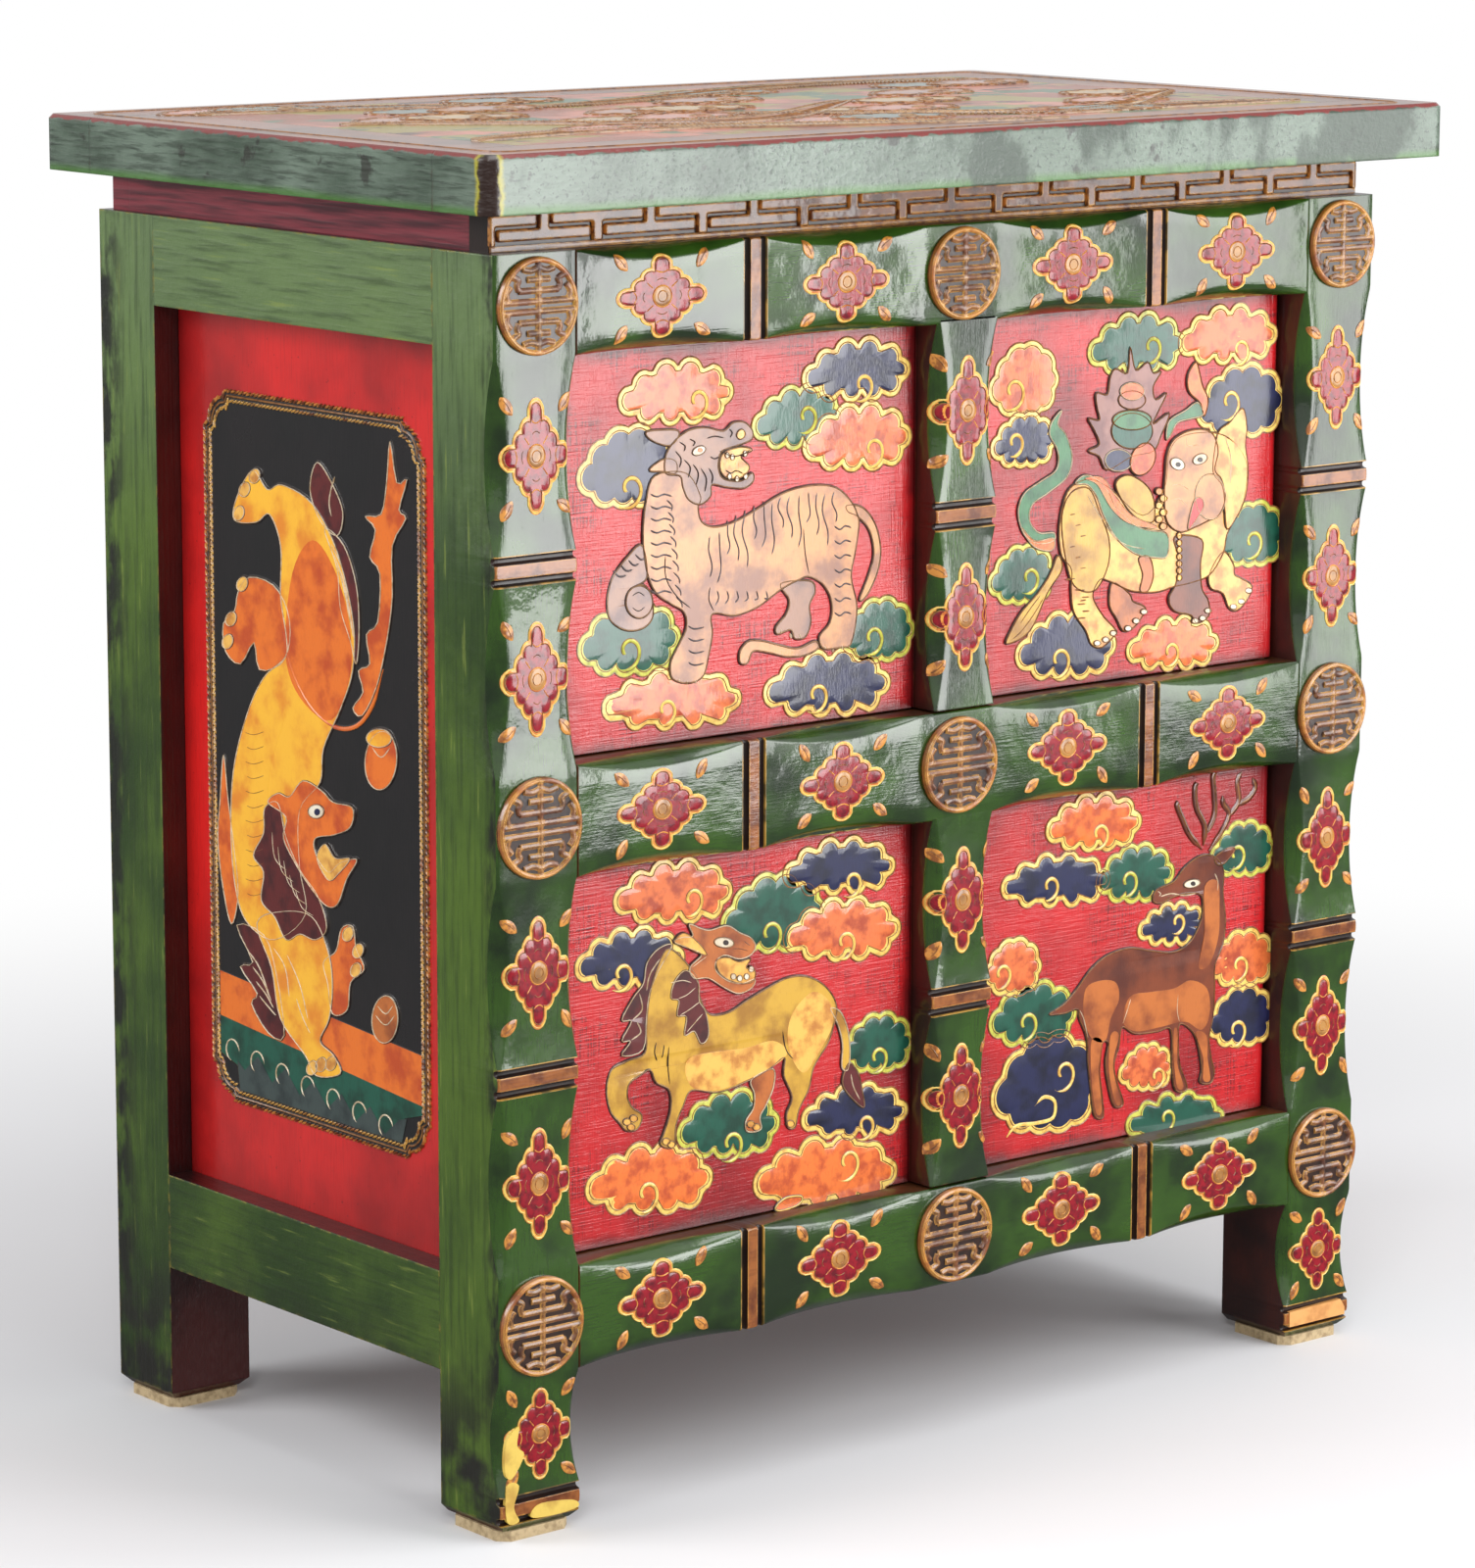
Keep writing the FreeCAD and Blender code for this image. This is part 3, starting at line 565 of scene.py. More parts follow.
def stroke(relief, surface, points, width, height, material, closed=False, base=0.0, taper=True):
    """A raised line with a round back along a smooth path."""
    path = np.asarray(points, float)
    ahead = np.roll(path, -1, 0) - path
    behind = path - np.roll(path, 1, 0)
    if not closed:
        ahead[-1], behind[0] = behind[-1], ahead[0]
    tangent = ahead + behind
    tangent /= np.maximum(np.linalg.norm(tangent, axis=1), 1e-6)[:, None]
    across = np.stack([-tangent[:, 1], tangent[:, 0]], 1)
    n = len(path)
    grow = np.ones(n)
    if taper and not closed:
        place = np.linspace(0, 1, n)
        grow = np.clip(np.minimum(place, 1 - place) * 8, 0.25, 1)
    rows = []
    for share, lift in SECTION:
        spot = path + across * (share * width * grow)[:, None]
        rows.append(surface.at(spot[:, 0], spot[:, 1], base + height * lift * np.sqrt(grow)))
    for share in (0.5, -0.5):
        spot = path + across * (share * width * grow)[:, None]
        rows.append(surface.at(spot[:, 0], spot[:, 1], -FOOT))
    m = len(rows)
    points = np.stack(rows, 1).reshape(-1, 3)
    faces = []
    for i in range(n if closed else n - 1):
        j = (i + 1) % n
        for k in range(m):
            l = (k + 1) % m
            faces.append((i * m + k, i * m + l, j * m + l, j * m + k))
    if not closed:
        faces.append(tuple(range(m))[::-1])
        faces.append(tuple((n - 1) * m + k for k in range(m)))
    relief.add(points, faces, material)


# Carved bamboo members of the front

class Member:
    """A member with scalloped front edges and raised rings; s runs along it and a across it."""

    def __init__(self, width, spans, rings, foot=None):
        self.half, self.spans, self.rings, self.foot = width / 2, spans, rings, foot

    def leg(self, s):
        """How far the front edges are cut back at s."""
        s = np.asarray(s, float)
        leg = np.full(s.shape, plain_leg)
        for low, high in self.spans:
            t = (2 * s - low - high) / (high - low)
            leg = np.where(np.abs(t) < 1, plain_leg + (scallop_leg - plain_leg) * (1 - t ** 2), leg)
        return leg

    def dip(self, s):
        """How far the face lies behind the front at s."""
        s = np.asarray(s, float)
        dip = np.zeros(s.shape)
        for low, high in self.spans:
            t = (2 * s - low - high) / (high - low)
            dip = np.where(np.abs(t) < 1, internode_drop * (1 - t ** 4), dip)
        for ring in self.rings:
            away = np.abs(s - ring)
            groove = np.clip(1 - (np.abs(away - ring_half - groove_width / 2) / (groove_width / 2)) ** 4, 0,
                             1)
            dip = dip + groove_depth * groove
            dip = np.where(away < ring_half, dip - 0.5 * (1 - (away / ring_half) ** 2), dip)
        return dip

    def drop(self, s, a):
        """How far the carved surface lies behind the front at (s, a)."""
        leg = self.leg(s)
        t = np.clip((np.abs(a) - (self.half - leg)) / leg, 0, 1)
        return self.dip(s) + leg * t ** 1.6

    def stations(self, start, end):
        """Places along the member, close together where the relief is fine."""
        marks = list(np.arange(start, end, 2.5)) + [start, end]
        edge = ring_half + groove_width
        for ring in self.rings:
            marks = [m for m in marks if abs(m - ring) > edge + 0.6]
            fine = (0, 1.4, 2.4, 2.9, ring_half, 3.3, 3.6, 4.2, 4.9, 5.6, 6.2, 6.5, edge, edge + 0.5)
            marks += [ring + side * f for f in fine for side in (-1, 1)]
        return np.array(sorted(set(round(m, 3) for m in marks if start <= m <= end)))

    def band(self, s):
        """The kind of paint at s: plain, ring, groove or line."""
        for ring in self.rings:
            away = abs(s - ring)
            if away < ring_half - 0.1:
                return "ring"
            if away < ring_half + groove_width - 0.15:
                return "groove"
            if away < ring_half + groove_width + 0.5:
                return "line"
        return "plain"


def member_mesh(name, member, start, end, place, back, paints, body, slot):
    """The member's closed mesh. place maps (s, a, depth) to a point; back closes the section
    from the edge at +half to the edge at -half, as (a, depth) points."""
    stations = member.stations(start, end)
    corner = np.linspace(1, 0, 7)
    flat = np.linspace(-1, 1, 7)[1:-1]
    count_front = 2 * len(corner) + len(flat)
    rows = []
    for s in stations:
        leg, dip = float(member.leg(s)), float(member.dip(s))
        inner = member.half - leg
        section = [(-(inner + leg * t), dip + leg * t ** 1.6) for t in corner]
        section += [(inner * f, dip) for f in flat]
        section += [(inner + leg * t, dip + leg * t ** 1.6) for t in corner[::-1]]
        section += list(back)
        shrink = 0.0
        if member.foot and s < start + member.foot:
            shrink = member.foot - (s - start)
        rows.append([place(s, a * (1 - shrink / member.half), max(d, shrink)) for a, d in section])
    points = np.array(rows, float)
    m = points.shape[1]
    relief = Relief(name, body, slot)
    faces, kinds = [], []
    for i in range(len(stations) - 1):
        kind = member.band((stations[i] + stations[i + 1]) / 2)
        for k in range(m):
            l = (k + 1) % m
            faces.append((i * m + k, i * m + l, (i + 1) * m + l, (i + 1) * m + k))
            if k < count_front - 1:
                kinds.append(paints[kind])
            elif k == count_front - 1:
                kinds.append(paints["high_side"])
            elif k == m - 1:
                kinds.append(paints["low_side"])
            else:
                kinds.append(paints["back"])
    faces.append(tuple(range(m))[::-1])
    faces.append(tuple((len(stations) - 1) * m + k for k in range(m)))
    kinds += [paints["back"], paints["back"]]
    relief.add(points, faces, kinds[0])
    for material in kinds:
        if material not in relief.materials:
            relief.materials.append(material)
    relief.kinds = [relief.materials.index(material) for material in kinds]
    return relief.build(38.0)


def drilled(piece, holes):
    """Cut the pivot holes, (x, low z, high z) each, out of a rail."""
    drill = bmesh.new()
    for x, low, high in holes:
        middle = Matrix.Translation(Vector((x, (door_y[0] + door_y[1]) / 2, (low + high) / 2)) * MM)
        bmesh.ops.create_cone(drill, cap_ends=True, segments=28, radius1=pivot_hole_radius * MM,
                              radius2=pivot_hole_radius * MM, depth=(high - low) * MM, matrix=middle)
    mesh = bpy.data.meshes.new("drill")
    drill.to_mesh(mesh)
    drill.free()
    tool = bpy.data.objects.new("drill", mesh)
    bpy.context.scene.collection.objects.link(tool)
    cut = piece.modifiers.new("holes", "BOOLEAN")
    cut.operation, cut.solver, cut.object = "DIFFERENCE", "EXACT", tool
    bpy.context.view_layer.update()
    done = bpy.data.meshes.new_from_object(piece.evaluated_get(bpy.context.evaluated_depsgraph_get()))
    piece.modifiers.clear()
    piece.data = done
    bpy.data.objects.remove(tool)


upright_paints = {"plain": green_upright, "ring": ring_copper, "groove": groove_dark, "line": groove_line,
                  "back": stain}
level_paints = {"plain": green, "ring": ring_copper, "groove": groove_dark, "line": groove_line,
                "low_side": stain_rail, "high_side": stain_rail, "back": inside_wood}

clear = 1.0
ring_reach = ring_half + groove_width
post_spans = [(post_z[0] + foot_ring_rise + ring_reach, level_z["bottom"] - medallion_radius["bottom"]
               - clear),
              (level_z["bottom"] + medallion_radius["bottom"] + clear, ring_z[0] - ring_reach),
              (ring_z[0] + ring_reach, level_z["middle"] - medallion_radius["middle"] - clear),
              (level_z["middle"] + medallion_radius["middle"] + clear, ring_z[1] - ring_reach),
              (ring_z[1] + ring_reach, level_z["top"] - medallion_radius["top"] - clear)]


def rail_spans(radius):
    return [(left_post[1] + clear, ring_x[0] - ring_reach), (ring_x[0] + ring_reach, -radius - clear),
            (radius + clear, ring_x[1] - ring_reach), (ring_x[1] + ring_reach, right_post[0] - clear)]


flower_spots = []


def posts():
    for side, centre in (("left", medallion_x[0]), ("right", medallion_x[2])):
        rings = (post_z[0] + foot_ring_rise, *ring_z)
        member = Member(post_size, post_spans, rings, foot=foot_chamfer)
        paints = dict(upright_paints)
        paints["low_side" if side == "left" else "high_side"] = side_frame
        paints["high_side" if side == "left" else "low_side"] = stain
        piece = member_mesh(f"carved_front_{side}_post", member, *post_z,
                            lambda s, a, d, c=centre: (c + a, front + d, s),
                            [(post_size / 2, post_size), (-post_size / 2, post_size)], paints, "carcass",
                            "green_lacquer")
        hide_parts(f"front_{side}_post")
        surface = Surface((centre, front, 0), (0, 0, 1), (1, 0, 0), (0, -1, 0), member.drop)
        flower_spots.extend(("carcass", surface, (low + high) / 2, high - low) for low, high in post_spans)


def rails():
    hole_x = (left_post[1] + pivot_inset, right_post[0] - pivot_inset)
    lip = door_y[1] + lip_gap - front
    depth = rail_y[1] - rail_y[0]
    for level in ("bottom", "middle", "top"):
        low, high = rail_z[level]
        half = (high - low) / 2
        radius = medallion_radius[level]
        member = Member(high - low, rail_spans(radius), ring_x)
        centre = (low + high) / 2
        seat = {"bottom": span("floor_board", Z)[0], "middle": span("shelf_board", Z)[0]}.get(level)
        back = []
        if level == "top":
            back.append((half, depth))
        else:
            back += [(half, depth - board_rebate), (seat - centre, depth - board_rebate), (seat - centre,
                                                                                           depth)]
        if level == "bottom":
            back.append((-half, depth))
        else:
            back += [(-half - stop_lip, depth), (-half - stop_lip, lip), (-half, lip)]
        piece = member_mesh(f"carved_front_{level}_rail", member, left_post[1], right_post[0],
                            lambda s, a, d, c=centre: (s, front + d, c + a), back, level_paints, "carcass",
                            "green_lacquer")
        holes = []
        if level != "top":
            holes += [(x, high - pivot_hole_reach, high + 1) for x in hole_x]
        if level != "bottom":
            holes += [(x, low - 1, low + pivot_hole_reach) for x in hole_x]
        drilled(piece, holes)
        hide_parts(f"front_{level}_rail")
        surface = Surface((0, front, centre), (1, 0, 0), (0, 0, 1), (0, -1, 0), member.drop)
        flower_spots.extend(("carcass", surface, (a + b) / 2, b - a) for a, b in rail_spans(radius))


def mullions():
    centre = (mullion_x[0] + mullion_x[1]) / 2
    width = mullion_x[1] - mullion_x[0]
    paints = dict(upright_paints, low_side=stain, high_side=stain)
    for level, (low, high) in mullion_z.items():
        ring = (low + high) / 2
        spans = [(low + clear, ring - ring_reach), (ring + ring_reach, high - clear)]
        member = Member(width, spans, (ring,))
        body = f"{level}_right_door"
        depth = door_y[0] - front
        piece = member_mesh(f"carved_{level}_mullion", member, low, high,
                            lambda s, a, d: (centre + a, front + d, s),
                            [(width / 2, depth), (-width / 2, depth)], paints, body, "green_lacquer")
        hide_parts(f"{level}_right_door_mullion")
        surface = Surface((centre, front, 0), (0, 0, 1), (1, 0, 0), (0, -1, 0), member.drop)
        flower_spots.extend((body, surface, (a + b) / 2, b - a) for a, b in spans)


# Painted flowers on the members

def quarter_turns(circles):
    out = []
    for u, v, radius in circles:
        out += [(u, v, radius), (-v, u, radius), (-u, -v, radius), (v, -u, radius)]
    return out


FLOWER = quarter_turns([(0.75, 0.0, 0.24), (0.43, 0.23, 0.25), (0.43, -0.23, 0.25)])

def flower(relief, surface, s, length, width, turn):
    half = np.array([length / 2, width / 2])

    def drawn(outline):
        return np.stack([s + outline[:, 0] * half[0], outline[:, 1] * half[1]], 1)

    whole = lobed(FLOWER, (0, 0), 96, (0.42, 0.42))
    inner = lobed([(u, v, radius - 0.085) for u, v, radius in FLOWER], (0, 0), 96, (0.40, 0.40))
    fan(relief, surface, drawn(whole), (s, 0), 0.35, gold_leaf, (1.0, 0.97, 0.72, 0.48, 0.24))
    stroke(relief, surface, drawn(whole * 0.97), 0.9, 0.55, cream, closed=True)
    fan(relief, surface, drawn(inner), (s, 0), 0.50, crimson, (1.0, 0.95, 0.72, 0.48, 0.24))
    stroke(relief, surface, drawn(inner), 0.7, 0.75, brown_line, closed=True)
    t = np.linspace(-1, 1, 9)
    for k in range(4):
        angle = k * math.pi / 2
        turned = np.array([[math.cos(angle), math.sin(angle)], [-math.sin(angle), math.cos(angle)]])
        tip = np.stack([0.63 - 0.07 * (1 - t ** 2), 0.15 * t], 1) @ turned
        stroke(relief, surface, drawn(tip), 0.8, 0.8, gold_leaf)
        seam = np.stack([0.19 + 0.075 * (t + 1), 0.19 + 0.075 * (t + 1)], 1) @ turned
        stroke(relief, surface, drawn(seam), 0.8, 0.8, gold_leaf)
        heart = np.stack([0.42 - 0.06 * t ** 2, 0.13 * t], 1) @ turned
        stroke(relief, surface, drawn(heart), 0.6, 0.72, brown_line)
    t = np.linspace(0, 2 * math.pi, 24, endpoint=False)
    circle = np.stack([np.cos(t), np.sin(t)], 1)
    fan(relief, surface, drawn(circle * (0.21, 0.26)), (s, 0), 0.75, tan_eye, (1.0, 0.9, 0.5))
    stroke(relief, surface, drawn(circle * (0.10, 0.13)), 0.7, 1.1, leaf_gold, closed=True)
    stroke(relief, surface, drawn(circle * (0.20, 0.25)), 0.9, 1.05, gold_leaf, closed=True)
    for along in (-1, 1):
        for across in (-1, 1):
            tilt = along * across * (0.75 + 0.25 * math.sin(turn + along + 2 * across))
            pointed_leaf(relief, surface, (s + along * 0.88 * half[0], across * 0.84 * half[1]), tilt)


def pointed_leaf(relief, surface, centre, tilt, length=10.5, width=5.4):
    t = np.linspace(0, 2 * math.pi, 28, endpoint=False)
    shape = np.stack([np.cos(t) * length / 2, np.sin(t) * np.abs(np.sin(t)) ** 0.6 * width / 2], 1)
    turned = shape @ np.array([[math.cos(tilt), math.sin(tilt)], [-math.sin(tilt), math.cos(tilt)]])
    outline = turned + centre
    fan(relief, surface, outline, centre, 0.45, leaf_gold, (1.0, 0.85, 0.45))
    vein = np.array([[-0.36, 0], [0.0, 0.04], [0.36, 0]]) * length
    vein = vein @ np.array([[math.cos(tilt), math.sin(tilt)], [-math.sin(tilt), math.cos(tilt)]]) + centre
    stroke(relief, surface, curve(vein, steps=4), 0.6, 0.7, brown_line)


def flowers():
    reliefs = {}
    for index, (body, surface, s, room) in enumerate(flower_spots):
        relief = reliefs.setdefault(body, Relief(f"painted_flowers_{body}", body, "green_lacquer"))
        length = min(flower_length, room * flower_share)
        flower(relief, surface, s, length, flower_width, index * 1.7)
    for relief in reliefs.values():
        relief.build()


# Applied medallions

FRET = [
    [(0, -0.92), (0, 0.92)],
    [(-0.90, 0.10), (0.90, 0.10)],
    [(-0.50, 0.32), (0.50, 0.32)],
    [(-0.50, 0.32), (-0.54, 0.44), (-0.50, 0.54), (-0.66, 0.62)],
    [(-0.76, 0.12), (-0.80, 0.28), (-0.70, 0.42)],
    [(-0.28, 0.54), (0.28, 0.54)],
    [(-0.40, 0.76), (-0.20, 0.72), (0.0, 0.78)],
]


def fret_lines():
    """The fret's lines, mirrored left to right and top to bottom."""
    seen = []
    for line in FRET:
        for su in (1, -1):
            for sv in (1, -1):
                flipped = sorted([(round(su * u, 3), round(sv * v, 3)) for u, v in line])
                if flipped not in [sorted(x) for x in seen]:
                    seen.append([(su * u, sv * v) for u, v in line])
    return seen


def medallions():
    t = np.linspace(0, 2 * math.pi, 96, endpoint=False)
    circle = np.stack([np.cos(t), np.sin(t)], 1)
    lines = fret_lines()
    for level in ("bottom", "middle", "top"):
        relief = Relief(f"fret_medallions_{level}", "carcass", "copper_paint")
        radius = medallion_radius[level]
        for x in medallion_x:
            centre = (x, level_z[level])
            surface = Surface((0, front, 0), (1, 0, 0), (0, 0, 1), (0, -1, 0))
            fan(relief, surface, circle * radius + centre, centre, 1.7, fret_base, (1.0, 0.97, 0.5))
            stroke(relief, surface, circle * (radius - 1.4) + centre, 2.8, 1.7, rim_gold, closed=True,
                   base=1.6)
            for line in lines:
                path = curve(np.array(line) * radius + centre, steps=6) if len(line) > 2 else \
                    np.linspace(line[0], line[1], 12) * radius + centre
                stroke(relief, surface, path, 3.3, 1.5, fret_copper, base=1.5, taper=False)
        piece = relief.build()
        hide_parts(f"{level}_rail_medallions")


# Key fret of the waist: standing and hanging T shapes, carved with gold edges

def key_fret():
    relief = Relief("waist_key_fret", "carcass", "waist_paint")
    surface = Surface((0, waist_y, 0), (1, 0, 0), (0, 0, 1), (0, -1, 0))
    low, high = waist_z[0] + 0.1, waist_z[1] - 1.0
    groove, border = 2.1, 2.7
    bar = 4.5
    base = (low + border + groove, low + border + groove + bar)
    head = (base[1] + groove, base[1] + groove + bar)
    stem = 2.4
    ends = (waist_x[0] + 0.3, waist_x[1] - 0.3)
    count = 9
    period = (waist_x[1] - waist_x[0]) / count
    arm = period / 2 - stem - groove
    tall = 1.5

    def piece(corners):
        shape = [(min(max(u, ends[0]), ends[1]), v) for u, v in corners]
        plate(relief, surface, shape, tall, fret_copper)
        stroke(relief, surface, rounded(shape, 1.0), 1.1, tall + 0.35, gold_edge, closed=True)

    for k in range(count + 1):
        start = waist_x[0] + k * period
        if k < count:
            middle = start + period / 2
            piece([(middle - stem, high), (middle - stem, base[1]), (middle - arm, base[1]), (middle - arm,
                                                                                              base[0]),
                   (middle + arm, base[0]), (middle + arm, base[1]), (middle + stem, base[1]),
                   (middle + stem, high)])
        if 0 < k < count:
            piece([(start - stem, low + border), (start - stem, head[0]), (start - arm, head[0]),
                   (start - arm, head[1]), (start + arm, head[1]), (start + arm, head[0]), (start + stem,
                                                                                            head[0]),
                   (start + stem, low + border)])
    for inner, sign in ((waist_x[0], 1), (waist_x[1], -1)):
        piece([(inner, low + border), (inner, head[1]), (inner + sign * arm, head[1]),
               (inner + sign * arm, head[0]), (inner + sign * stem, head[0]), (inner + sign * stem,
                                                                               low + border)])
    plate(relief, surface, [(ends[0], low), (ends[1], low), (ends[1], low + border), (ends[0], low + border)],
          tall, fret_copper)
    for v in (low + 0.6, low + border - 0.3):
        stroke(relief, surface, np.linspace((ends[0], v), (ends[1], v), 40), 0.9, tall + 0.3, gold_edge)
    relief.build()


def rounded(corners, radius, steps=3):
    """A closed path round corners."""
    p = np.array(corners, float)
    out = []
    for i in range(len(p)):
        a, b, c = p[i - 1], p[i], p[(i + 1) % len(p)]
        into, away = b - a, c - b
        into /= max(np.linalg.norm(into), 1e-6)
        away /= max(np.linalg.norm(away), 1e-6)
        for t in np.linspace(0, 1, steps):
            out.append((1 - t) ** 2 * (b - into * radius) + 2 * t * (1 - t) * b + t ** 2 * (b + away
                                                                                            * radius))
    return np.array(out)


# The drawings. Each is made on a sheet of its own units, u to the right and v down, and
# its four corners are laid on the panel at the places given in millimetres.

class Sheet:
    """Maps drawing units to a flat surface by the places of the sheet's four corners."""

    def __init__(self, size, corners, surface):
        self.surface = surface
        rows, values = [], []
        for (u, v), (x, y) in zip(((0, 0), (size[0], 0), (0, size[1]), size), corners):
            rows.append([u, v, 1, 0, 0, 0, -u * x, -v * x])
            rows.append([0, 0, 0, u, v, 1, -u * y, -v * y])
            values += [x, y]
        self.h = np.append(np.linalg.solve(np.array(rows, float), np.array(values, float)), 1).reshape(3, 3)

    def on(self, points):
        p = np.array(points, float)
        q = np.concatenate([p, np.ones((len(p), 1))], 1) @ self.h.T
        return q[:, :2] / q[:, 2:]


# A cloud in a box of half size 1, v up, with each radius as a share of the half height
CLOUD = ((-0.76, -0.26, 0.44), (-0.46, -0.52, 0.44), (-0.08, -0.56, 0.42), (0.30, -0.52, 0.44), (0.64, -0.40,
                                                                                                 0.42),
         (0.82, 0.00, 0.36), (0.62, 0.34, 0.46), (0.24, 0.50, 0.50), (-0.16, 0.44, 0.50), (-0.52, 0.16, 0.46))


def cloud(relief, sheet, box, curl, material, flip=False, band=2.4, lift=0.0, edge=None):
    """A cloud with scalloped edges and a curl, in the box (left, right, top, bottom) of the sheet."""
    edge = edge or (lime if material is teal else cream)
    middle_u, middle_v = (box[0] + box[1]) / 2, (box[2] + box[3]) / 2
    left, right, top, bottom, centre = sheet.on([(box[0], middle_v), (box[1], middle_v), (middle_u, box[2]),
                                                 (middle_u, box[3]), (middle_u, middle_v)])
    along, up = (right - left) / 2, (top - bottom) / 2
    wide, tall = np.linalg.norm(along), np.linalg.norm(up)
    circles = []
    for u, v, radius in CLOUD:
        spot = centre + (-u if flip else u) * along + v * up
        circles.append((spot[0], spot[1], radius * tall))
    whole = lobed(circles, centre, 132, (0.80 * wide, 0.74 * tall))
    inner = lobed([(u, v, max(radius - band, 0.5)) for u, v, radius in circles], centre, 132,
                  (0.80 * wide - band, 0.74 * tall - band))
    surface = sheet.surface
    fan(relief, surface, whole, centre, 0.36 + lift, edge)
    stroke(relief, surface, whole, 0.9, 0.55 + lift, brown_line, closed=True)
    fan(relief, surface, inner, centre, 0.46 + lift, material)
    stroke(relief, surface, inner, 0.7, 0.65 + lift, brown_line, closed=True)
    place = sheet.on([curl])[0]
    turn = -1 if flip else 1
    t = np.linspace(0.0, 1.0, 34)
    angle = -2.2 + t * 6.4
    reach = (7.4 * (1 - t) + 1.2) * min(1.1, tall / 17)
    spiral = np.stack([place[0] + turn * reach * np.cos(angle), place[1] + reach * np.sin(angle)], 1)
    stroke(relief, surface, spiral, 3.0, 0.72 + lift, brown_line)
    stroke(relief, surface, spiral, 2.0, 1.0 + lift, edge)


def clouds(relief, sheet, rows):
    """Clouds, each a row of box, place of the curl, paint and extra height."""
    for box, curl, material, lift in rows:
        cloud(relief, sheet, box, curl, material, lift=lift)


def figure(relief, sheet, outline, material, line=None, height=0.75, width=1.1, steps=5):
    """A filled shape with a raised outline in two tones."""
    path = sheet.on(curve(outline, closed=True, steps=steps))
    plate(relief, sheet.surface, path, height, material)
    if line is not None:
        stroke(relief, sheet.surface, path, width * 1.45, height + 0.22, ink_line, closed=True)
        over = umber_line if line is ink_line else line
        stroke(relief, sheet.surface, path, width * 0.75, height + 0.48, over, closed=True)


def figures(relief, sheet, rows):
    """Filled shapes, each a row of the values that figure takes."""
    for row in rows:
        figure(relief, sheet, *row)


def lines(relief, sheet, paths, material, width=0.9, height=1.1, steps=5):
    """Raised lines along smooth curves."""
    for path in paths:
        stroke(relief, sheet.surface, sheet.on(curve(path, steps=steps)), width, height, material)


def oval(u, v, ru, rv, tilt=0.0, steps=14):
    """The outline of an ellipse, tilted by an angle."""
    t = np.linspace(0, 2 * math.pi, steps, endpoint=False)
    a, b = ru * np.cos(t), rv * np.sin(t)
    return np.stack([u + a * math.cos(tilt) - b * math.sin(tilt),
                     v + a * math.sin(tilt) + b * math.cos(tilt)], 1)


door_surface = Surface((0, door_y[0], 0), (1, 0, 0), (0, 0, 1), (0, -1, 0), thin=right_post[0] - 38)
SHEETS = {
    "upper_left": ((1176, 1568), ((-215.9, 555.2), (-14.5, 542.4), (-216.7, 350.1), (-12.1, 326.3))),
    "upper_right": ((1149, 1568), ((25.5, 558.5), (232.4, 546.3), (28.4, 355.3), (238.6, 332.5))),
    "lower_left": ((1193, 1568), ((-219.6, 332.3), (-11.9, 307.2), (-220.4, 120.5), (-9.4, 83.5))),
    "lower_right": ((1105, 1568), ((28.8, 331.2), (235.9, 307.5), (31.8, 116.0), (242.5, 81.0))),
}


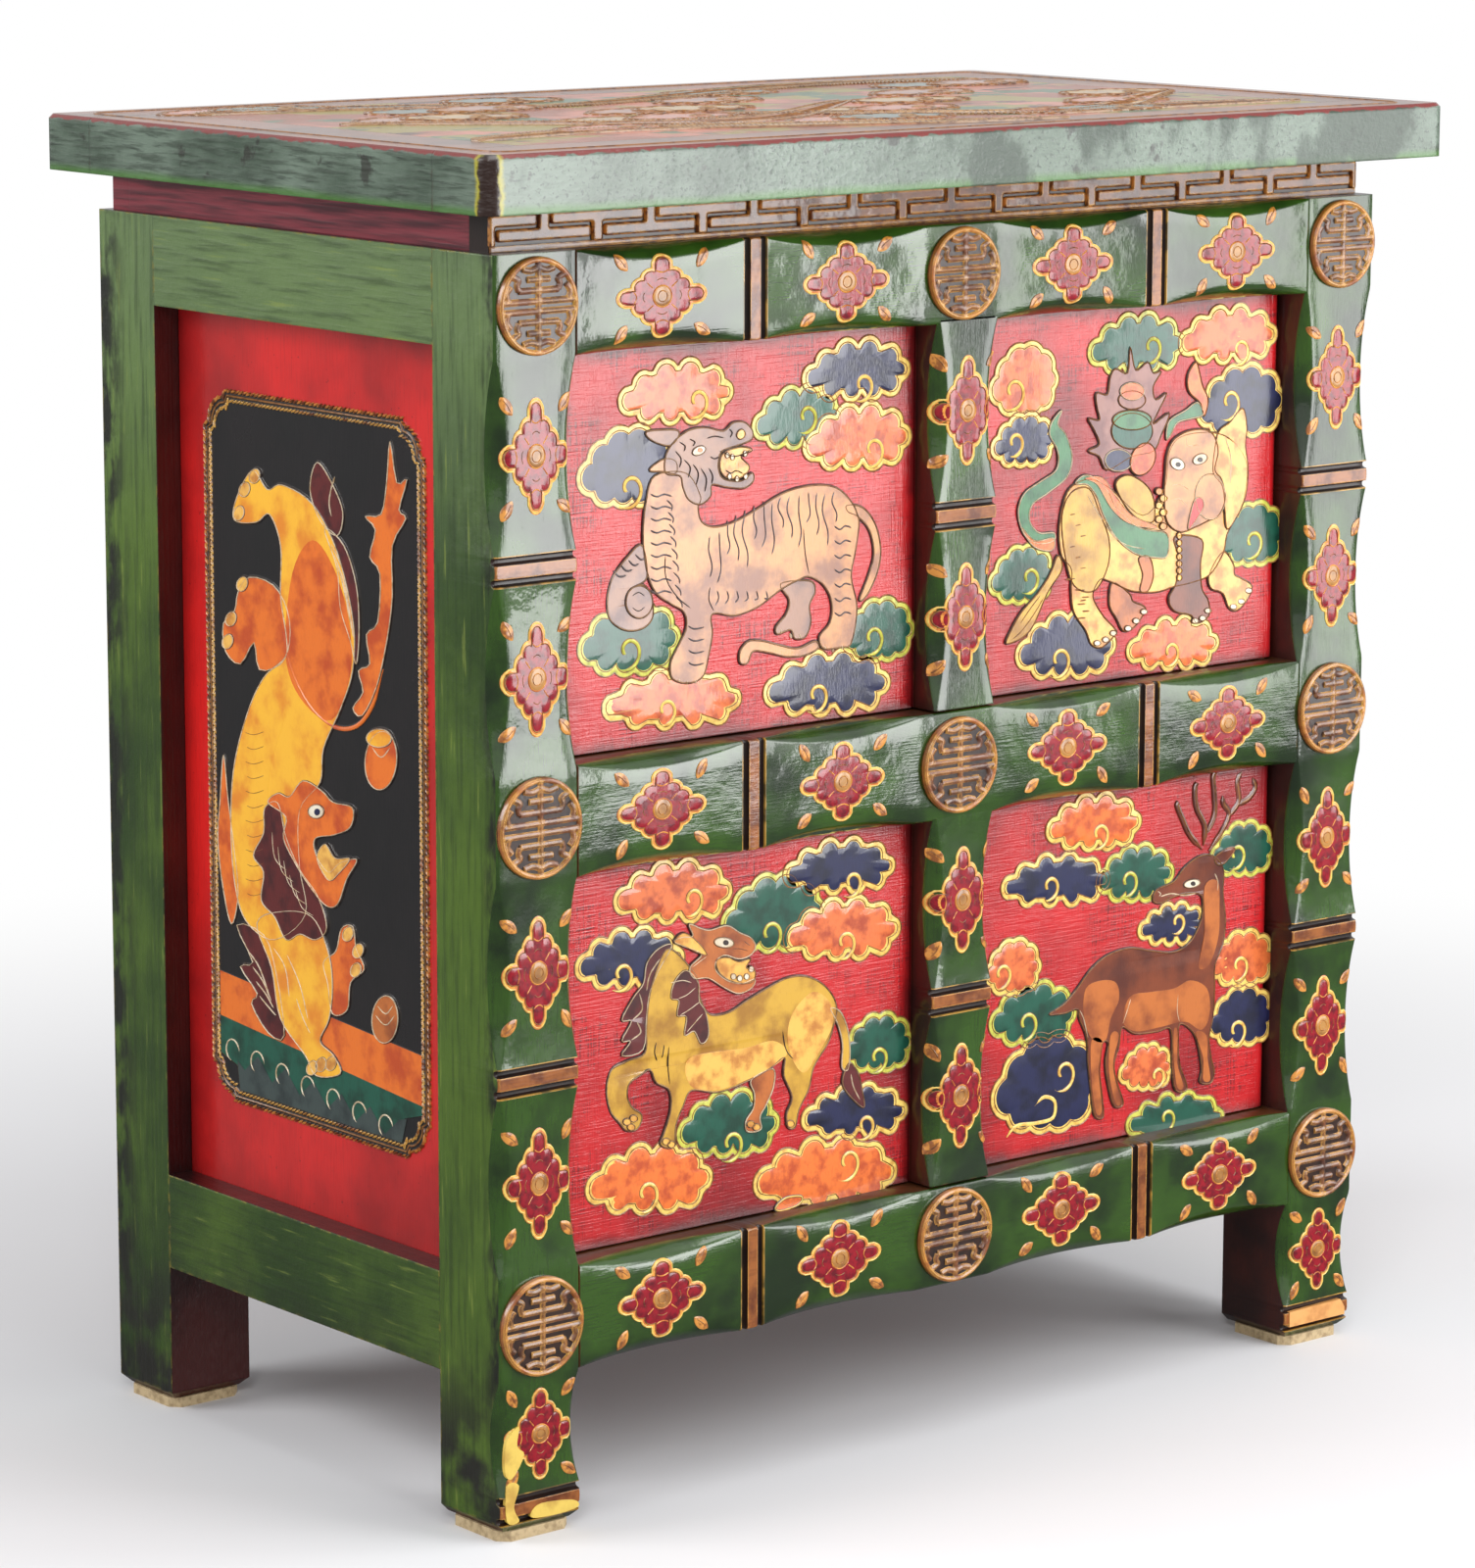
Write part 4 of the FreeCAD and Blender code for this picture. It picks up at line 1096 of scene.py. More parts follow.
def tiger():
    relief = Relief("tiger_drawing", "upper_left_door", "red_lacquer")
    sheet = Sheet(*SHEETS["upper_left"], door_surface)
    clouds(relief, sheet, (
        ((130, 545, 115, 360), (410, 270), peach, 0.0),
        ((8, 330, 345, 650), (175, 575), navy, 0.0),
        ((605, 920, 205, 445), (790, 325), teal, 0.0),
        ((770, 1158, 40, 278), (985, 215), navy, 0.1),
        ((775, 1160, 265, 520), (1020, 440), peach, 0.15),
        ((4, 350, 955, 1235), (170, 1140), teal, 0.0),
        ((60, 585, 1190, 1420), (300, 1345), peach, 0.1),
        ((925, 1160, 945, 1185), (1020, 1095), teal, 0.0),
        ((630, 1095, 1125, 1375), (825, 1295), navy, 0.0),
    ))
    far_leg = [(700, 905), (730, 960), (720, 1010), (685, 1055), (690, 1080), (735, 1065), (750, 1095),
               (785, 1090), (805, 1040), (800, 980), (820, 930), (800, 895)]
    body = [(262, 530), (232, 620), (222, 720), (225, 800), (240, 880), (270, 940), (320, 975), (365, 1005),
            (372, 1060), (345, 1120), (318, 1180), (325, 1235), (380, 1250), (430, 1225), (450, 1150),
            (462, 1080), (462, 1010), (540, 1015), (620, 985), (700, 925), (760, 892), (800, 880), (850, 910),
            (878, 970), (872, 1040), (835, 1090), (850, 1130), (910, 1125), (945, 1110), (965, 990),
            (945, 880), (960, 790), (972, 700), (965, 660), (945, 620), (900, 575), (840, 562), (760, 572),
            (690, 600), (620, 645), (540, 690), (470, 708), (425, 690), (412, 640), (420, 600), (370, 520)]
    raised = [(218, 772), (170, 810), (120, 880), (100, 960), (110, 1030), (160, 1066), (220, 1060),
              (255, 1020), (250, 950), (225, 910), (195, 915), (235, 880)]
    tail = [(930, 632), (985, 640), (1030, 700), (1048, 790), (1035, 870), (1000, 945), (975, 960),
            (1005, 880), (1025, 800), (1010, 720), (970, 672), (935, 655)]
    tail_end = [(820, 1105), (760, 1130), (700, 1120), (640, 1105), (590, 1105), (560, 1140), (560, 1180),
                (585, 1180), (605, 1140), (660, 1145), (720, 1158), (780, 1155), (830, 1130)]
    head = [(300, 460), (330, 410), (380, 372), (440, 362), (500, 374), (535, 345), (575, 345), (600, 372),
            (598, 402), (560, 420), (520, 432), (490, 450), (482, 500), (500, 540), (560, 548), (600, 520),
            (603, 548), (570, 572), (510, 568), (460, 560), (455, 600), (420, 628), (380, 612), (360, 570),
            (350, 530), (300, 520)]
    ear = [(345, 375), (290, 370), (232, 378), (250, 405), (300, 424), (330, 415)]
    low_ear = [(335, 480), (300, 470), (262, 490), (245, 512), (290, 515), (335, 520)]
    paw = oval(208, 968, 46, 56)
    figures(relief, sheet, (
        (tail, fur_tan, ink_line),
        (tail_end, fur_tan, ink_line),
        (far_leg, fur_grey, ink_line, 0.78),
        (raised, fur_grey, ink_line, 0.82),
        (body, fur_tan, ink_line, 0.88),
        (paw, fur_grey, ink_line, 0.95),
        (ear, fur_grey, ink_line, 0.9),
        (low_ear, fur_tan, ink_line, 0.9),
        (head, fur_grey, ink_line, 1.0),
        ([(488, 500), (500, 450), (560, 430), (600, 440), (560, 462), (590, 500), (560, 535), (510, 535)],
         fur_gold, ink_line, 1.1),
        (oval(414, 442, 24, 14, -0.4), white_paint, ink_line, 1.2, 0.8),
        (oval(418, 440, 8, 8), orange, None, 1.5),
        (oval(560, 385, 14, 17, 0.4), fur_gold, ink_line, 1.2, 0.8),
    ))
    lines(relief, sheet, [[(500, 505), (525, 520), (545, 512), (575, 525)], [(480, 440), (540, 462),
                                                                             (600, 436)],
                          [(440, 400), (470, 392), (505, 398)], [(330, 440), (352, 470), (346, 505)],
                          [(360, 470), (384, 500), (376, 540)], [(392, 486), (412, 520), (404, 566)],
                          [(420, 500), (440, 540), (434, 590)], [(448, 500), (462, 530), (458, 560)],
                          [(380, 400), (400, 412), (392, 428)], [(345, 410), (366, 426), (362, 446)],
                          [(452, 462), (470, 470), (486, 462)], [(520, 365), (530, 380), (522, 398)]],
          ink_line, 0.9, 1.6)
    for u, v in ((512, 458), (530, 464), (574, 452), (520, 532), (546, 540), (576, 532)):
        figure(relief, sheet, oval(u, v, 7, 10), white_paint, ink_line, 1.3, 0.5)
    stripes = []
    for k in range(15):
        u = 455 + 31 * k
        top = 700 - 150 * math.sin(min(1.0, k / 12) * math.pi / 2) + 25
        length = 170 + 50 * math.sin(k * 2.1)
        sway = 8 * math.sin(k * 1.3)
        stripes.append([(u, top), (u - 6 + sway, top + length * 0.35), (u + 6, top + length * 0.7),
                        (u - 4 - sway, top + length)])
    for k in range(9):
        v = 590 + 42 * k
        stripes.append([(240, v), (268, v + 12), (296, v + 4), (330, v + 14)])
        stripes.append([(300 + 4 * k, v + 20), (322 + 4 * k, v + 44), (318 + 5 * k, v + 66)])
    for k in range(7):
        v = 700 + 50 * k
        stripes.append([(880, v), (905, v + 16), (925, v + 4), (952, v + 12)])
    for k in range(4):
        stripes.append([(120 + 24 * k, 860 - 20 * k), (140 + 24 * k, 880 - 20 * k), (165 + 22 * k,
                                                                                     876 - 20 * k)])
        stripes.append([(375, 1050 + 42 * k), (400, 1062 + 42 * k), (440, 1054 + 42 * k)])
    for k in range(6):
        stripes.append([(478 + 34 * k, 925), (484 + 34 * k, 955), (470 + 34 * k, 985 - 6 * k)])
    lines(relief, sheet, stripes, stripe_grey, 1.35, 1.2)
    claws = [[(u, v), (u + 4, v + 18)] for u, v in ((345, 1232), (372, 1240), (402, 1236), (852, 1118),
                                                    (880, 1124),
                                                   (912, 1116), (700, 1060), (735, 1078), (765, 1078))]
    lines(relief, sheet, claws, pale_line, 1.0, 1.3, 3)
    lines(relief, sheet, [[(180, 950), (205, 935), (230, 950)], [(180, 985), (205, 1000), (232, 982)],
                          [(300, 780), (300, 880), (340, 950), (400, 1000)], [(778, 700), (785, 800),
                                                                              (800, 880)],
                          [(455, 910), (450, 960), (470, 1005)]], ink_line, 0.9, 1.25)
    relief.build()


def elephant():
    relief = Relief("elephant_drawing", "upper_right_door", "red_lacquer")
    sheet = Sheet(*SHEETS["upper_right"], door_surface)
    clouds(relief, sheet, (
        ((50, 275, 210, 500), (120, 400), peach, 0.0),
        ((45, 275, 470, 690), (125, 590), navy, 0.1),
        ((395, 765, 95, 345), (635, 235), teal, 0.0),
        ((810, 1130, 285, 580), (925, 440), navy, 0.0),
        ((728, 1112, 68, 305), (965, 245), peach, 0.15),
        ((895, 1128, 800, 1058), (1012, 960), teal, 0.0),
        ((38, 270, 960, 1200), (180, 1095), teal, 0.0),
        ((130, 505, 1205, 1480), (290, 1400), navy, 0.0),
        ((535, 895, 1225, 1445), (705, 1370), orange, 0.0),
    ))
    scarf = [(300, 470), (265, 510), (255, 560), (285, 620), (280, 690), (220, 735), (160, 780), (138, 850),
             (160, 930), (210, 965), (268, 955), (270, 925), (215, 925), (180, 880), (190, 820), (250, 775),
             (320, 715), (338, 640), (315, 560), (285, 520)]
    flames = [(400, 500), (440, 505), (430, 450), (430, 405), (470, 410), (480, 350), (500, 315), (545, 330),
              (555, 235), (575, 320), (620, 290), (640, 330), (670, 325), (640, 380), (650, 430), (690, 405),
              (660, 470), (640, 520), (700, 480), (670, 560), (640, 620), (560, 640), (470, 690), (440, 640),
              (400, 620), (440, 595), (420, 540)]
    ribbon = [(690, 575), (700, 510), (760, 470), (805, 440), (825, 485), (780, 500), (730, 515), (705, 560)]
    plume = [(800, 290), (770, 340), (775, 400), (815, 440), (830, 490), (845, 430), (825, 380), (815, 340)]
    far_hind = [(490, 1110), (478, 1190), (505, 1245), (530, 1290), (570, 1275), (610, 1215), (600, 1195),
                (565, 1180), (550, 1150)]
    far_fore = [(850, 1075), (855, 1130), (900, 1150), (925, 1205), (960, 1210), (1000, 1160), (1008, 1120),
                (970, 1095), (945, 1080), (940, 1040), (900, 995)]
    body = [(330, 760), (300, 840), (290, 930), (300, 1010), (335, 1060), (335, 1140), (345, 1220),
            (390, 1290),
            (410, 1340), (450, 1350), (500, 1300), (495, 1280), (450, 1230), (415, 1160), (440, 1100),
            (480, 1105), (560, 1140), (650, 1145), (715, 1125), (780, 1110), (850, 1080), (900, 1000),
            (915, 930), (960, 850), (985, 770), (985, 650), (900, 560), (760, 560), (700, 620), (680, 760),
            (600, 860), (480, 760), (400, 725)]
    fore_leg = [(720, 940), (735, 1020), (725, 1110), (698, 1170), (720, 1215), (780, 1230), (800, 1260),
                (845, 1235), (845, 1180), (820, 1130), (815, 1040), (820, 950)]
    ear = [(868, 610), (885, 545), (930, 510), (975, 462), (990, 530), (985, 600), (995, 690), (985, 790),
           (955, 860), (915, 910), (905, 830), (895, 750), (862, 700)]
    head = [(690, 640), (710, 585), (760, 550), (820, 540), (862, 560), (880, 620), (868, 690), (895, 730),
            (905, 800), (880, 860), (840, 880), (800, 900), (740, 920), (690, 880), (680, 780), (685, 700)]
    cloth = [(350, 742), (395, 745), (430, 790), (455, 860), (500, 940), (570, 1000), (640, 1015),
             (690, 1010),
             (690, 930), (620, 915), (560, 890), (500, 830), (470, 770), (420, 720), (380, 712)]
    pad = [(500, 745), (545, 710), (610, 745), (640, 800), (640, 880), (590, 875), (540, 830)]
    figures(relief, sheet, (
        (scarf, cloth_green, pale_line, 0.8),
        ([(150, 905), (200, 955), (268, 945), (262, 990), (195, 975)], orange, pale_line, 0.85),
        (flames, smoke, brown_line, 0.85, 1.1, 4),
        (ribbon, cloth_green, pale_line, 0.8),
        (plume, orange, brown_line, 0.8),
        (far_hind, fur_copper, brown_line, 0.8),
        (far_fore, fur_gold, brown_line, 0.8),
        (body, fur_gold, brown_line, 0.9),
    ))
    haunch = [(335, 775), (300, 860), (310, 1000), (345, 1120), (420, 1140), (470, 1050), (475, 950),
              (440, 850),
              (400, 760)]
    figures(relief, sheet, (
        (haunch, fur_ochre, brown_line, 0.98),
        (cloth, cloth_green, pale_line, 1.05),
        ([(385, 722), (430, 745), (480, 830), (540, 885), (620, 905), (650, 900), (560, 860), (500, 790),
          (450, 720)], orange, pale_line, 1.15, 0.8),
        (pad, fur_ochre, brown_line, 1.1),
        (fore_leg, fur_brown, brown_line, 1.0),
        (ear, fur_gold, brown_line, 1.05),
        (head, fur_tan, brown_line, 1.15),
        (oval(850, 790, 56, 84), fur_tan, pale_line, 1.25),
        ([(790, 805), (815, 795), (825, 825), (800, 870), (770, 910), (770, 880)], mouth_red, pale_line, 1.4,
         0.8),
        (oval(728, 668, 28, 20, 0.5), white_paint, ink_line, 1.3, 0.8),
        (oval(812, 650, 28, 18, -0.4), white_paint, ink_line, 1.3, 0.8),
        (oval(730, 670, 9, 9), ink_line, None, 1.6),
        (oval(812, 652, 9, 9), ink_line, None, 1.6),
        (oval(600, 650, 44, 62, 0.4), peach, brown_line, 1.15),
        (oval(510, 655, 50, 40), navy, pale_line, 1.05),
        (oval(560, 545, 76, 66), teal, brown_line, 1.1),
        (oval(560, 505, 72, 36), cloth_green, brown_line, 1.2),
        (oval(560, 430, 50, 34), smoke, brown_line, 1.1),
        (oval(560, 398, 44, 32), peach, pale_line, 1.2),
        ([(285, 1010), (300, 1060), (245, 1150), (180, 1290), (95, 1338), (110, 1290), (150, 1220),
          (210, 1150), (255, 1080)], fur_ochre, brown_line, 0.95),
    ))
    lines(relief, sheet, [[(240, 1150), (200, 1220), (150, 1290), (105, 1330)],
                          [(225, 1150), (180, 1210), (140, 1270)]], brown_line, 0.8, 1.3)
    chain = [oval(735, 935 + 26 * k, 9, 11) for k in range(7)] + [oval(660 + 16 * (k % 2), 770 + 26 * k, 13,
                                                                       12)
                                                                for k in range(6)]
    for bead in chain:
        figure(relief, sheet, bead, fur_gold, brown_line, 1.3, 0.7)
    figure(relief, sheet, [(585, 1020), (625, 1015), (640, 1080), (620, 1140), (590, 1138), (600, 1080)],
           fur_copper,
           brown_line, 1.0)
    marks = [[(318 + 20 * (k % 3), 860 + 40 * k), (360 + 20 * (k % 3), 852 + 40 * k)] for k in range(9)]
    marks += [[(345 + 18 * (k % 2), 1140 + 26 * k), (400 + 14 * (k % 2), 1136 + 26 * k)] for k in range(5)]
    lines(relief, sheet, marks, brown_line, 1.6, 1.15, 3)
    folds = [[(905, 560), (930, 650), (925, 760)], [(950, 530), (960, 640), (950, 770)],
             [(760, 560), (770, 600), (830, 590)], [(700, 750), (740, 745), (780, 770)],
             [(700, 800), (740, 800), (770, 830)], [(380, 760), (440, 860), (520, 960), (640, 990)]]
    lines(relief, sheet, folds, pale_line, 0.9, 1.35)
    toes = [oval(u, v, 12, 9) for u, v in ((430, 1335), (462, 1322), (490, 1298), (545, 1280), (575, 1252),
                                           (604, 1218), (795, 1252), (822, 1242), (842, 1214), (940, 1200),
                                           (970, 1180), (998, 1140))]
    for toe in toes:
        figure(relief, sheet, toe, white_paint, ink_line, 1.2, 0.7)
    relief.build()


def maned_beast():
    relief = Relief("maned_beast_drawing", "lower_left_door", "red_lacquer")
    sheet = Sheet(*SHEETS["lower_left"], door_surface)
    clouds(relief, sheet, (
        ((130, 560, 150, 392), (410, 300), peach, 0.0),
        ((0, 390, 385, 622), (165, 562), navy, 0.0),
        ((520, 870, 195, 492), (680, 420), teal, 0.0),
        ((715, 1128, 75, 290), (965, 240), navy, 0.1),
        ((720, 1145, 280, 520), (940, 450), peach, 0.15),
        ((940, 1175, 685, 908), (1055, 850), teal, 0.0),
        ((780, 1170, 930, 1138), (1010, 1085), navy, 0.1),
        ((360, 715, 950, 1205), (545, 1150), teal, 0.0),
        ((35, 490, 1135, 1402), (250, 1325), orange, 0.0),
        ((610, 1138, 1112, 1385), (950, 1215), orange, 0.0),
    ))
    body = [(330, 470), (285, 545), (260, 640), (250, 740), (245, 832), (180, 862), (132, 892), (115, 960),
            (128, 1035), (160, 1078), (182, 1102), (218, 1096), (234, 1050), (200, 1022), (184, 985),
            (190, 940), (225, 912), (264, 892), (285, 935), (330, 962), (335, 1030), (312, 1110), (300, 1152),
            (345, 1158), (352, 1085), (378, 1015), (408, 962), (500, 968), (600, 930), (680, 885), (730, 848),
            (728, 910), (757, 985), (738, 1045), (745, 1092), (768, 1088), (780, 1030), (815, 955),
            (832, 880), (880, 800), (900, 740), (912, 680), (895, 630), (855, 588), (800, 566), (740, 572),
            (680, 602), (600, 650), (540, 690), (480, 702), (450, 675), (430, 620), (420, 560)]
    far_leg = [(615, 925), (690, 888), (692, 950), (665, 1015), (645, 1055), (648, 1098), (602, 1106),
               (596, 1070), (622, 1025), (626, 975)]
    belly = [(400, 850), (480, 830), (600, 815), (690, 790), (740, 830), (690, 880), (600, 925), (500, 960),
             (415, 955), (385, 900)]
    haunch = [(760, 690), (830, 620), (890, 660), (895, 740), (850, 830), (800, 900), (760, 860), (740, 780)]
    mane_back = [(338, 458), (292, 470), (252, 520), (240, 590), (205, 640), (165, 718), (198, 722),
                 (165, 790),
                 (195, 792), (165, 842), (238, 820), (250, 705), (262, 620), (295, 540)]
    mane_front = [(388, 545), (348, 582), (335, 640), (362, 650), (356, 702), (388, 706), (382, 770),
                  (415, 756),
                  (440, 800), (465, 768), (455, 690), (432, 650), (430, 590)]
    tail = [(890, 678), (925, 690), (950, 750), (958, 830), (950, 890), (930, 880), (932, 800), (915, 730)]
    tuft = [(955, 868), (932, 930), (952, 975), (1006, 1022), (998, 950), (985, 900)]
    head = [(345, 445), (372, 430), (410, 425), (398, 385), (440, 400), (472, 405), (530, 390), (575, 415),
            (612, 432), (628, 462), (610, 492), (570, 505), (520, 492), (490, 515), (492, 548), (530, 580),
            (580, 590), (625, 575), (615, 605), (570, 625), (520, 605), (465, 572), (415, 572), (400, 535),
            (440, 490), (390, 465)]
    muzzle = [(492, 510), (530, 500), (570, 515), (610, 505), (595, 535), (625, 545), (620, 580), (580, 590),
              (530, 575), (500, 548)]
    figures(relief, sheet, (
        (far_leg, fur_copper, pale_line, 0.8),
        (tail, fur_ochre, pale_line, 0.82),
        (tuft, mane_maroon, ink_line, 0.9),
        (mane_back, mane_maroon, pale_line, 0.85, 0.9, 4),
        (body, fur_ochre, ink_line, 0.92),
        (belly, fur_gold, None, 0.98),
        (haunch, fur_gold, None, 0.98),
        (mane_front, mane_maroon, pale_line, 1.1, 0.9, 4),
        (head, fur_copper, pale_line, 1.15),
        (muzzle, fur_gold, ink_line, 1.25),
        ([(345, 445), (380, 415), (430, 450), (458, 490), (420, 480), (385, 462)], fur_gold, ink_line, 1.25,
         0.9),
        (oval(518, 448, 34, 17, 0.1), white_paint, ink_line, 1.3, 0.9),
        (oval(524, 448, 9, 9), ink_line, None, 1.6),
    ))
    for u, v in ((550, 566), (572, 572), (596, 566), (612, 540)):
        figure(relief, sheet, oval(u, v, 9, 10), white_paint, ink_line, 1.4, 0.6)
    flow = [[(330, 590), (375, 580), (412, 590)], [(355, 645), (390, 630), (425, 600)],
            [(360, 705), (400, 680), (440, 650)], [(385, 765), (415, 730), (450, 690)],
            [(300, 500), (262, 560), (250, 620)], [(225, 620), (235, 680), (200, 720)],
            [(215, 720), (230, 760), (195, 790)], [(400, 540), (440, 510), (460, 495)],
            [(960, 900), (970, 950), (995, 1000)]]
    lines(relief, sheet, flow, pale_line, 0.9, 1.4)
    lines(relief, sheet, [[(328, 800), (325, 880), (332, 950)], [(285, 790), (278, 830), (288, 860)],
                          [(722, 745), (735, 820), (765, 858)], [(312, 800), (308, 830), (304, 850)],
                          [(540, 470), (575, 470), (610, 480)], [(585, 440), (600, 452), (612, 460)]],
          ink_line, 1.0, 1.3)
    ankles = [oval(u, v, 13, 11) for u, v in ((182, 1072), (205, 1060), (196, 1090), (318, 1140), (336, 1150),
                                             (612, 1080), (632, 1090), (750, 1078))]
    for ankle in ankles:
        figure(relief, sheet, ankle, fur_gold, ink_line, 1.1, 0.7)
    drip = [(700, 1372), (735, 1338), (790, 1332), (780, 1360), (720, 1382)]
    figure(relief, sheet, drip, orange, cream, 0.6, 1.4)
    relief.build()


def deer():
    relief = Relief("deer_drawing", "lower_right_door", "red_lacquer")
    sheet = Sheet(*SHEETS["lower_right"], door_surface)
    clouds(relief, sheet, (
        ((232, 590, 130, 358), (430, 290), orange, 0.1),
        ((60, 482, 348, 562), (250, 480), navy, 0.0),
        ((425, 702, 315, 545), (535, 462), teal, 0.0),
        ((840, 1066, 232, 450), (930, 365), teal, 0.0),
        ((568, 830, 528, 702), (715, 610), navy, 0.0),
        ((24, 210, 660, 882), (75, 800), peach, 0.1),
        ((35, 345, 815, 1070), (165, 980), teal, 0.0),
        ((60, 415, 1000, 1385), (300, 1160), navy, 0.0),
        ((508, 695, 1042, 1228), (640, 1170), peach, 0.0),
        ((835, 1068, 628, 850), (940, 770), peach, 0.1),
        ((835, 1062, 830, 1068), (930, 1005), navy, 0.0),
        ((515, 898, 1218, 1418), (675, 1325), teal, 0.0),
    ))
    body = [(700, 462), (742, 408), (800, 368), (850, 372), (882, 420), (880, 500), (890, 600), (880, 690),
            (850, 762), (848, 850), (842, 950), (828, 1030), (835, 1100), (846, 1150), (835, 1192),
            (796, 1190),
            (802, 1140), (790, 1060), (768, 1005), (722, 978), (716, 1050), (722, 1130), (748, 1212),
            (706, 1218), (694, 1130), (690, 1000), (640, 1006), (560, 1014), (512, 990), (500, 1060),
            (482, 1130), (496, 1200), (516, 1268), (484, 1278), (462, 1200), (452, 1120), (462, 1050),
            (440, 1050), (430, 1150), (440, 1250), (442, 1318), (412, 1310), (398, 1220), (388, 1120),
            (384, 1030), (358, 960), (350, 925), (300, 940), (248, 944), (300, 908), (350, 850), (400, 780),
            (460, 730), (540, 704), (620, 714), (700, 718), (760, 680), (800, 600), (806, 530), (790, 505),
            (740, 505), (690, 520), (650, 540), (624, 528), (640, 490)]
    flank = [(540, 880), (620, 862), (700, 850), (760, 820), (820, 850), (830, 940), (800, 1000), (740, 970),
             (650, 990), (560, 1005), (515, 970)]
    throat = [(812, 480), (860, 460), (866, 560), (862, 660), (830, 760), (790, 770), (812, 640)]
    thigh = [(380, 850), (440, 820), (490, 830), (500, 890), (470, 960), (450, 1040), (400, 1030), (372, 950)]
    figures(relief, sheet, (
        (body, fur_brown, brown_line, 0.9),
        (flank, fur_copper, None, 0.98),
        (throat, fur_copper, None, 0.98),
        (thigh, fur_copper, None, 0.98),
    ))
    for leg in ([(400, 1040), (440, 1045), (426, 1150), (438, 1290), (416, 1300), (400, 1180)],
                [(470, 1020), (500, 1020), (478, 1130), (505, 1260), (486, 1262), (464, 1150)],
                [(700, 1000), (714, 1010), (712, 1120), (735, 1205), (712, 1208), (700, 1110)],
                [(780, 1010), (818, 1020), (822, 1100), (832, 1180), (806, 1180), (806, 1100)]):
        figure(relief, sheet, leg, fur_copper, None, 0.98)
    antlers = [[(805, 345), (760, 290), (735, 235), (715, 185), (722, 176)],
               [(810, 330), (815, 260), (785, 190), (780, 120), (792, 106)],
               [(815, 300), (850, 220), (850, 140), (846, 80), (858, 66)],
               [(830, 350), (880, 275), (905, 215), (885, 180), (880, 150)],
               [(900, 230), (940, 170), (935, 100), (950, 62)],
               [(930, 185), (975, 160), (1000, 120), (990, 85)]]
    for antler in antlers:
        stroke(relief, sheet.surface, sheet.on(curve(antler, steps=6)), 3.6, 1.0, fur_brown, base=0.2)
        stroke(relief, sheet.surface, sheet.on(curve(antler, steps=6)), 1.2, 1.35, brown_line, base=0.2)
    figures(relief, sheet, (
        (oval(765, 468, 30, 14, -0.2), white_paint, ink_line, 1.15, 0.8),
        (oval(768, 468, 8, 8), ink_line, None, 1.5),
        ([(850, 372), (900, 340), (925, 345), (890, 390), (860, 400)], fur_brown, brown_line, 1.0),
    ))
    lines(relief, sheet, [[(640, 520), (690, 505), (740, 512), (800, 500)], [(716, 860), (712, 930),
                                                                             (722, 978)],
                          [(512, 985), (530, 930), (545, 880)], [(355, 925), (372, 960), (390, 1040)],
                          [(640, 495), (652, 505), (646, 515)], [(850, 430), (860, 460), (858, 500)]],
          pale_line, 0.9, 1.2)
    swirl = [[(95, 1392), (130, 1350), (200, 1340), (262, 1320), (268, 1260), (230, 1245), (196, 1278)]]
    lines(relief, sheet, swirl, cream, 2.4, 0.95)
    relief.build()


# Side cartouches

CARTOUCHE_Y = (-79.5, 97.0)
CARTOUCHE_Z = (163.5, 509.0)
SIDE_SHEET = ((488, 1568), ((-128.6, 546.2), (92.5, 563.5), (-141.7, 107.8), (87.4, 154.9)))


def notched(u, v, radius, inset=0.0):
    """A rectangle whose corners are stepped in and then rounded."""
    low_u, high_u, low_v, high_v = u[0] + inset, u[1] - inset, v[0] + inset, v[1] - inset
    step = 3.4
    quarter = np.linspace(0, math.pi / 2, 9)
    path = []
    for cu, cv, start in ((low_u, low_v, 2), (high_u, low_v, 3), (high_u, high_v, 0), (low_u, high_v, 1)):
        turn = start * math.pi / 2
        out_u, out_v = (1 if cu == high_u else -1), (1 if cv == high_v else -1)
        middle = (cu - out_u * (radius + step), cv - out_v * (radius + step))
        arc = [(middle[0] + radius * math.cos(turn + q), middle[1] + radius * math.sin(turn + q))
               for q in quarter]
        across = (cu, cv - out_v * (radius + step * 1.6))
        over = (cu - out_u * (radius + step * 1.6), cv)
        path += [across] + arc + [over] if start % 2 == 0 else [over] + arc + [across]
    return np.array(path)


def braid(relief, surface, path, width, pitch, material):
    """A twisted cord line: short slanted strokes along a closed path."""
    closed = np.concatenate([path, path[:1]])
    steps = np.linalg.norm(np.diff(closed, axis=0), axis=1)
    total = np.concatenate([[0], np.cumsum(steps)])
    count = int(total[-1] / pitch)
    for k in range(count):
        d = total[-1] * (k + 0.5) / count
        i = min(np.searchsorted(total, d) - 1, len(steps) - 1)
        t = (d - total[i]) / steps[i]
        spot = closed[i] * (1 - t) + closed[i + 1] * t
        along = (closed[i + 1] - closed[i]) / steps[i]
        across = np.array([-along[1], along[0]])
        a = spot - along * pitch * 0.55 - across * width * 0.36
        b = spot + along * pitch * 0.55 + across * width * 0.36
        stroke(relief, surface, np.array([a, (a + b) / 2, b]), width * 0.55, 1.5, material, base=0.1)


